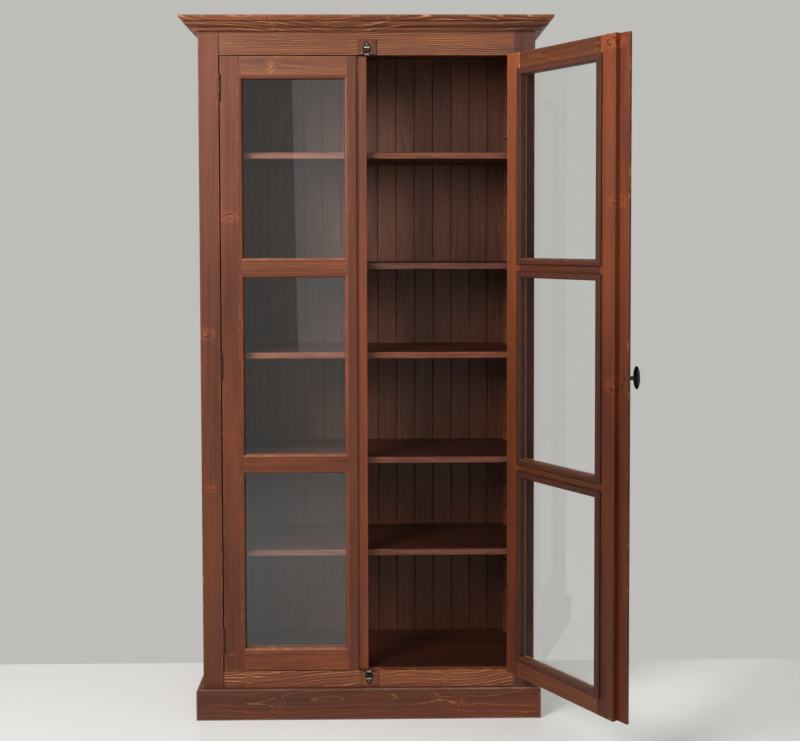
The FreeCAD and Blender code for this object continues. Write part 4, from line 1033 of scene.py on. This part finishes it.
# Where left door boards have two end colours, these paint light and shade along them, mixed with uneven
# stain: darker toward the bottom
LEFT_BOARDS = (
    Board(
        "hinge_stile", Grain.UPRIGHT, 11.1, SMOOTH, 0.6,
        knots=((1.440, 0.025, 0.011), (0.185, 0.0235, 0.004)), seams=(0.0,),
        light_and_stain_tints=((0.70, 0.68, 0.66), (0.87, 0.83, 0.76)),
    ),
    Board(
        "meeting_stile", Grain.UPRIGHT, 11.7, EVEN, 0.4, light_and_stain_tints=((1.12, 1.0, 0.92), (1.08, 1.1, 1.14)),
        band=(0.350, 0.3845),
    ),
    Board(
        "top_rail", Grain.LEVEL, 12.3, MILD, 0.4, knots=((0.1467, 1.8647, 0.007),),
        light_and_stain_tints=((1.3, 1.6, 1.66),) * 2,
    ),
    Board(
        "mid_rails", Grain.LEVEL, 13.1, MILD, 0.0, light_and_stain_tints=((0.66, 0.64, 0.66), (1.12, 1.12, 1.02)),
        light_and_stain_axis="Z",
    ),
    Board("bottom_rail", Grain.LEVEL, 13.9, MILD, 0.4, light_and_stain_tints=((0.86, 0.82, 0.76),) * 2),
    Board("mouldings", Grain.UPRIGHT, 14.3, SMOOTH, 0.6),
    # Darker plum stain on the beads, which also paints shade on them
    Board("glazing_beads", Grain.UPRIGHT, 14.9, SMOOTH, 0.5, PLUM_PINE),
)
# The right door's two end colours paint light and shade: its boards are much darker toward the bottom and
# lighter at the top
RIGHT_BOARDS = (
    Board(
        "hinge_stile", Grain.UPRIGHT, 23.1, SMOOTH, 0.5, RUSSET_PINE,
        light_and_stain_tints=((0.68, 0.61, 0.51), (1.42, 1.52, 1.40)),
    ),
    # The strong edge wear is partly rubbed edges and partly painted light on the lip's end face
    Board(
        "meeting_stile", Grain.UPRIGHT, 23.7, SMOOTH, 0.9, RUSSET_PINE,
        ((1.872, -0.4015, 0.012), (1.000, -0.410, 0.012), (1.470, -0.414, 0.010)),
        light_and_stain_tints=((0.52, 0.46, 0.38), (1.24, 1.20, 1.06)), worn_width=0.006,
    ),
    Board(
        "top_rail", Grain.LEVEL, 24.3, MILD, 0.4, RUSSET_PINE, ((-0.350, 1.876, 0.009),),
        light_and_stain_tints=((0.72, 0.84, 0.82),) * 2,
    ),
    Board(
        "mid_rails", Grain.LEVEL, 25.1, MILD, 0.0, RUSSET_PINE, light_and_stain_tints=((0.5, 0.5, 0.46), (0.72, 0.7, 0.6)),
        light_and_stain_axis="Z",
    ),
    Board("bottom_rail", Grain.LEVEL, 25.9, MILD, 0.4, RUSSET_PINE, light_and_stain_tints=((0.66, 0.7, 0.6),) * 2),
    Board("mouldings", Grain.UPRIGHT, 26.3, SMOOTH, 0.6),
    # Darker plum stain on the beads, which also paints shade on them
    Board(
        "glazing_beads", Grain.UPRIGHT, 26.9, SMOOTH, 0.5, PLUM_PINE,
        light_and_stain_tints=((0.6, 0.6, 0.5), (1.0, 1.08, 1.08)), light_and_stain_axis="Z",
    ),
)


@dataclass
class Carcass:
    """The standing part: posts, panels, rails, cornice, plinth, back, racks and shelves."""

    boards: Sequence[Board] = CARCASS_BOARDS
    back: Board = BACK_BOARDS
    plank: float = 0.0574

    def dress(self, finisher: Finisher) -> None:
        """Put pine and metal on the carcass.

        Args:
            finisher: The maker of materials.
        """
        for board in self.boards:
            finisher.pine(board, LocalFrame(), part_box(board.node))
        back = self.back
        finisher.pine(back, LocalFrame(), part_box(back.node), self.plank)
        finisher.metal(DARK_BRONZE, "hinge_frame_leaves", "hinge_pins")
        finisher.metal(BRIGHT_STEEL, "hinge_frame_screws", "top_catch_spring", "bottom_catch_spring")


@dataclass
class Door:
    """One glazed door, in axes that start at its hinge pins."""

    side: str
    point: Point
    turn: float
    boards: Sequence[Board]
    panes: int = 3
    lip: float = 0.032
    mid_rail: float = 0.034
    stick_widths: dict[str, float] = field(
        default_factory=lambda: {"mouldings": 0.0105, "glazing_beads": 0.0185}
    )

    def _box(self, name: str) -> Box:
        """Return a member's corners in the door's own axes, read from the door that is shut.

        Args:
            name: The member's name without its side.

        Returns:
            The lowest and highest corners.
        """
        low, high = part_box(f"left_door_{name}")
        start = Vector((-abs(self.point[0]), self.point[1], self.point[2]))
        low, high = low - start, high - start
        if self.side == "right":
            low.x, high.x = -high.x, -low.x
            if name == "meeting_stile":
                low.x -= self.lip
        return low, high

    def _sticks(self, name: str) -> Sticks:
        """Return what sticks frame.

        Args:
            name: The sticks' name without their side.

        Returns:
            The sticks' measures.
        """
        low, high = self._box("mouldings")
        pitch = (high.z - low.z + self.mid_rail) / self.panes
        low, high = self._box(name)
        return Sticks(high.z - low.z - pitch * (self.panes - 1), pitch, self.stick_widths[name])

    def dress(self, finisher: Finisher) -> None:
        """Put pine, glass and metal on the door.

        Args:
            finisher: The maker of materials.
        """
        frame = LocalFrame(self.point, self.turn)
        pane_edges = tuple(corner.x for corner in self._box("mouldings"))
        for board in self.boards:
            box = self._box(board.node)
            named = replace(board, node=f"{self.side}_door_{board.node}")
            if board.node.endswith(("rail", "rails")):
                named = replace(named, joints=pane_edges)
            elif board.node == "hinge_stile":
                named = replace(named, chipped=(min(pane_edges, key=abs),))
            elif named.node == "right_door_meeting_stile":
                named = replace(named, chipped=(box[0].x,))
            sticks = self._sticks(board.node) if board.node in self.stick_widths else None
            finisher.pine(named, frame, box, sticks=sticks)
        finisher.glass(CLEAR_GLASS, f"{self.side}_door_panes")
        finisher.metal(DARK_BRONZE, f"{self.side}_door_hinge_leaves")
        finisher.metal(BRIGHT_STEEL, f"{self.side}_door_hinge_screws")
        if self.side == "right":
            finisher.metal(BLACK_IRON, "knob", "knob_backplate", "knob_screw")
            finisher.metal(BRIGHT_STEEL, "strike_plates")


@dataclass
class Catches:
    """The roller catches above and below the doors, with slotted screws and a bright steel bar on each plate,
    which stands in for a highlight across the housing.
    """

    ends: Sequence[str] = ("top", "bottom")
    body: str = "carcass"
    plate_height: float = 0.038
    screw_spots: Sequence[tuple[float, float]] = ((-0.01375, 0.0046), (0.01375, 0.0046), (0.0, 0.029))
    screw_turns: Sequence[float] = (0.4, 1.3, 2.2, 0.9, 2.7, 1.8)
    head_sides: int = 32
    head_radius: float = 0.0022
    head_height: float = 0.0012
    head_dome: float = 0.0004
    dome_inset: float = 0.3
    dome_steps: Sequence[float] = (0.7, 0.3)
    slot_width: float = 0.0006
    slot_depth: float = 0.0005
    shank_radius: float = 0.0012
    shank_length: float = 0.010
    tip_share: float = 0.3
    bar_rise: float = 0.0207
    bar_length: float = 0.0165
    bar_width: float = 0.003
    bar_proud: float = 0.0011
    bar_sunk: float = 0.0004
    bar_round: float = 0.85
    bar_steps: int = 5

    def build(self, finisher: Finisher) -> None:
        """Model the screws and the bright bars that stand in for highlights, and put them on their plates.

        Args:
            finisher: The maker of materials.
        """
        low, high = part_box("catch_housings")
        edges = {"top": (high.z - self.plate_height, 1.0), "bottom": (low.z + self.plate_height, -1.0)}
        screw, bar = self._screw(), self._bar()
        turns = iter(self.screw_turns)
        for end in self.ends:
            edge, way = edges[end]
            for number, (across, rise) in enumerate(self.screw_spots, 1):
                spot = Matrix.Translation((across, low.y, edge + way * rise))
                place = spot @ Matrix.Rotation(next(turns), 4, "Y")
                piece = self._copy(screw, f"{end}_catch_screw_{number}", place)
                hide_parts("catch_screws")
                finisher.metal_piece(DULL_NICKEL, piece)
            # A bright bar on the plate, a painted highlight across the housing
            place = Matrix.Translation((0.0, low.y, edge + way * self.bar_rise))
            finisher.metal_piece(BRIGHT_STEEL, self._copy(bar, f"{end}_catch_bar", place))
        for pattern in (screw, bar):
            bpy.data.objects.remove(pattern)

    def dress(self, finisher: Finisher) -> None:
        """Put brass and nickel on the catches.

        Args:
            finisher: The maker of materials.
        """
        finisher.metal(AGED_BRASS, "catch_housings")
        for end in self.ends:
            finisher.metal(AGED_BRASS, f"{end}_catch_plunger")
            finisher.metal(DULL_NICKEL, f"{end}_catch_roller")

    def _copy(self, pattern: Piece, name: str, place: Matrix) -> Piece:
        """Copy a pattern with its own mesh, and let the copy ride on the standing part.

        Args:
            pattern: The object that is copied.
            name: The copy's name.
            place: Where the copy's mesh goes.

        Returns:
            The copy.
        """
        piece = bpy.data.objects.new(name, pattern.data.copy())
        piece.data.name = name
        piece.data.transform(place)
        bpy.context.scene.collection.objects.link(piece)
        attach(piece, self.body)
        LOG.info("made %s", name)
        return piece

    def _cube(self, middle: float, size: Point) -> Piece:
        """Return a box whose middle lies on the Y axis.

        Args:
            middle: Where on the axis.
            size: The box's size.

        Returns:
            The box.
        """
        bpy.ops.object.select_all(action="DESELECT")
        bpy.ops.mesh.primitive_cube_add(size=1.0, location=(0.0, middle, 0.0))
        cube = bpy.context.object
        cube.scale = size
        bpy.ops.object.transform_apply(location=True, rotation=True, scale=True)
        return cube

    def _pick(self, mesh_object: Piece, way: float) -> None:
        """Go into edit mode with the faces selected that look one way along the Y axis.

        Args:
            mesh_object: The object that is edited.
            way: 1 or -1.
        """
        bpy.ops.object.mode_set(mode="EDIT")
        bpy.ops.mesh.select_all(action="DESELECT")
        bpy.ops.object.mode_set(mode="OBJECT")
        for polygon in mesh_object.data.polygons:
            polygon.select = polygon.normal.y * way > SAME_WAY
        bpy.ops.object.mode_set(mode="EDIT")
        bpy.ops.mesh.select_mode(type="FACE")

    def _screw(self) -> Piece:
        """Model a screw whose domed, slotted head looks along -Y from the origin.

        Returns:
            The screw.
        """
        bpy.ops.object.select_all(action="DESELECT")
        rim = self.head_height - self.head_dome
        bpy.ops.mesh.primitive_cylinder_add(
            vertices=self.head_sides, radius=self.head_radius, depth=rim, location=(0.0, -rim / 2, 0.0),
            rotation=(math.pi / 2, 0.0, 0.0),
        )
        screw = bpy.context.object
        bpy.ops.object.transform_apply(location=True, rotation=True, scale=True)
        self._pick(screw, -1.0)
        for share in self.dome_steps:
            bpy.ops.mesh.inset(thickness=self.head_radius * self.dome_inset)
            bpy.ops.transform.translate(value=(0.0, -self.head_dome * share, 0.0))
        self._pick(screw, 1.0)
        bpy.ops.mesh.inset(thickness=self.head_radius - self.shank_radius)
        for length in (self.shank_length, self.shank_radius):
            bpy.ops.mesh.extrude_region_move(TRANSFORM_OT_translate={"value": (0.0, length, 0.0)})
        bpy.ops.transform.resize(
            value=(self.tip_share, 1.0, self.tip_share),
            center_override=(0.0, self.shank_length + self.shank_radius, 0.0),
        )
        bpy.ops.object.mode_set(mode="OBJECT")
        cutter = self._cube(-self.head_height, (self.head_radius * 3, self.slot_depth * 2, self.slot_width))
        bpy.ops.object.select_all(action="DESELECT")
        screw.select_set(True)
        bpy.context.view_layer.objects.active = screw
        slot = screw.modifiers.new("slot", "BOOLEAN")
        slot.operation = "DIFFERENCE"
        slot.object = cutter
        bpy.ops.object.modifier_apply(modifier=slot.name)
        bpy.data.objects.remove(cutter)
        bpy.ops.object.shade_smooth_by_angle(angle=SMOOTH_ANGLE)
        return screw

    def _bar(self) -> Piece:
        """Model a bar with round edges, partly sunk in the plate at the origin; its bright steel stands in
        for a highlight across the catch.

        Returns:
            The bar.
        """
        depth = self.bar_proud + self.bar_sunk
        bar = self._cube((self.bar_sunk - self.bar_proud) / 2, (self.bar_length, depth, self.bar_width))
        self._pick(bar, -1.0)
        bpy.ops.mesh.bevel(offset=self.bar_proud * self.bar_round, segments=self.bar_steps, affect="EDGES")
        bpy.ops.object.mode_set(mode="OBJECT")
        bpy.ops.object.shade_smooth_by_angle(angle=SMOOTH_ANGLE)
        return bar


@dataclass(frozen=True)
class SoftBox:
    """A square lamp: where it hangs, where it looks, its width in metres and its power in watts."""

    name: str
    point: Point
    target: Point
    size: float
    power: float


@dataclass
class Stage:
    """Floor, lights and the camera that took the photograph."""

    floor_colour: Colour = srgb(238, 238, 236)
    floor_roughness: float = 0.45
    floor_glow: float = 0.2
    wall_colour: Colour = srgb(190, 189, 186)
    fill: float = 0.4
    floor_left: float = -3.0
    floor_right: float = 3.0
    floor_front: float = -4.5
    floor_back: float = 0.07
    boxes: Sequence[SoftBox] = (
        SoftBox("key", (-1.9, -2.6, 2.35), (0.1, -0.4, 1.5), 1.3, 95.0),
        SoftBox("front", (1.4, -5.2, 2.48), (1.3, 0.0, 1.5), 4.0, 45.5),
    )
    camera_point: Point = (0.03881, -3.51809, 1.37537)
    yaw: float = math.radians(0.743)
    pitch: float = math.radians(2.145)
    roll: float = math.radians(-0.159)
    sensor_width: float = 36.0
    focal_pixels: float = 1115.35
    axis_x: float = 395.76
    axis_y: float = 281.17
    image_width: int = 800
    image_height: int = 741

    def build(self) -> None:
        """Make the floor, the lights, the world and the camera."""
        self._floor()
        self._world()
        self._lights()
        self._camera()

    def _floor(self) -> None:
        """Lay the plain pale floor."""
        bpy.ops.object.select_all(action="DESELECT")
        bpy.ops.mesh.primitive_plane_add(size=1.0)
        floor = bpy.context.object
        floor.name = "floor"
        spread = Vector((self.floor_right - self.floor_left, self.floor_back - self.floor_front, 1.0))
        middle = Vector((self.floor_right + self.floor_left, self.floor_back + self.floor_front, 0.0)) / 2
        floor.data.transform(Matrix.Translation(middle) @ Matrix.Diagonal((*spread, 1.0)))
        material = bpy.data.materials.new("pale_floor")
        material.use_nodes = True
        graph = Graph(material.node_tree)
        graph.fill(
            material.node_tree.nodes["Principled BSDF"], Base_Color=self.floor_colour,
            Roughness=self.floor_roughness, Emission_Color=self.floor_colour,
            Emission_Strength=seen_rays(graph) * self.floor_glow,
        )
        floor.data.materials.append(material)

    def _world(self) -> None:
        """Surround the object with a plain grey that is seen, but gives little light."""
        world = bpy.data.worlds.new("studio")
        bpy.context.scene.world = world
        world.use_nodes = True
        graph = Graph(world.node_tree)
        strength = seen_rays(graph).ramp(0.0, 1.0, self.fill, 1.0)
        graph.fill(world.node_tree.nodes["Background"], Color=self.wall_colour, Strength=strength)

    def _lights(self) -> None:
        """Hang the soft boxes, which don't show through a pane."""
        for box in self.boxes:
            lamp = bpy.data.lights.new(box.name, "AREA")
            lamp.shape = "SQUARE"
            lamp.size = box.size
            lamp.energy = box.power
            lamp_object = bpy.data.objects.new(box.name, lamp)
            lamp_object.location = box.point
            lamp_object.visible_transmission = False
            view = Vector(box.target) - Vector(box.point)
            lamp_object.rotation_euler = view.to_track_quat("-Z", "Y").to_euler()
            bpy.context.scene.collection.objects.link(lamp_object)

    def _camera(self) -> None:
        """Place the camera where the photograph was taken from."""
        lens = bpy.data.cameras.new("camera")
        lens.sensor_width = self.sensor_width
        lens.lens = lens.sensor_width * self.focal_pixels / self.image_width
        lens.shift_x = (self.image_width / 2 - self.axis_x) / self.image_width
        lens.shift_y = (self.axis_y - self.image_height / 2) / self.image_width
        camera = bpy.data.objects.new("camera", lens)
        up = Vector((0.0, 0.0, 1.0))
        ahead = Vector((math.sin(self.yaw), math.cos(self.yaw), 0.0))
        right = Vector((math.cos(self.yaw), -math.sin(self.yaw), 0.0))
        forward = ahead * math.cos(self.pitch) - up * math.sin(self.pitch)
        upward = up * math.cos(self.pitch) + ahead * math.sin(self.pitch)
        right, upward = (
            right * math.cos(self.roll) + upward * math.sin(self.roll),
            upward * math.cos(self.roll) - right * math.sin(self.roll),
        )
        axes = Matrix((right, upward, -forward)).transposed().to_4x4()
        camera.matrix_world = Matrix.Translation(self.camera_point) @ axes
        bpy.context.scene.collection.objects.link(camera)
        bpy.context.scene.camera = camera


def main() -> None:
    """Load the frame, dress every piece and set the stage."""
    logging.basicConfig(level=logging.INFO)
    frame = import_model()
    bpy.context.scene.view_settings.view_transform = "Standard"
    finisher = Finisher(frame["nodes"])
    swings = {joint["child"]: joint for joint in frame["joints"] if joint["child"].endswith("_door")}
    Carcass().dress(finisher)
    for side, boards in (("left", LEFT_BOARDS), ("right", RIGHT_BOARDS)):
        swing = swings[f"{side}_door"]
        shut = -math.radians(swing["range_deg"][0]) * swing["axis"][2]
        Door(side, (swing["pos_m"][0], swing["pos_m"][1], 0.0), shut, boards).dress(finisher)
    catches = Catches()
    catches.build(finisher)
    catches.dress(finisher)
    Stage().build()


if __name__ == "__main__":
    main()
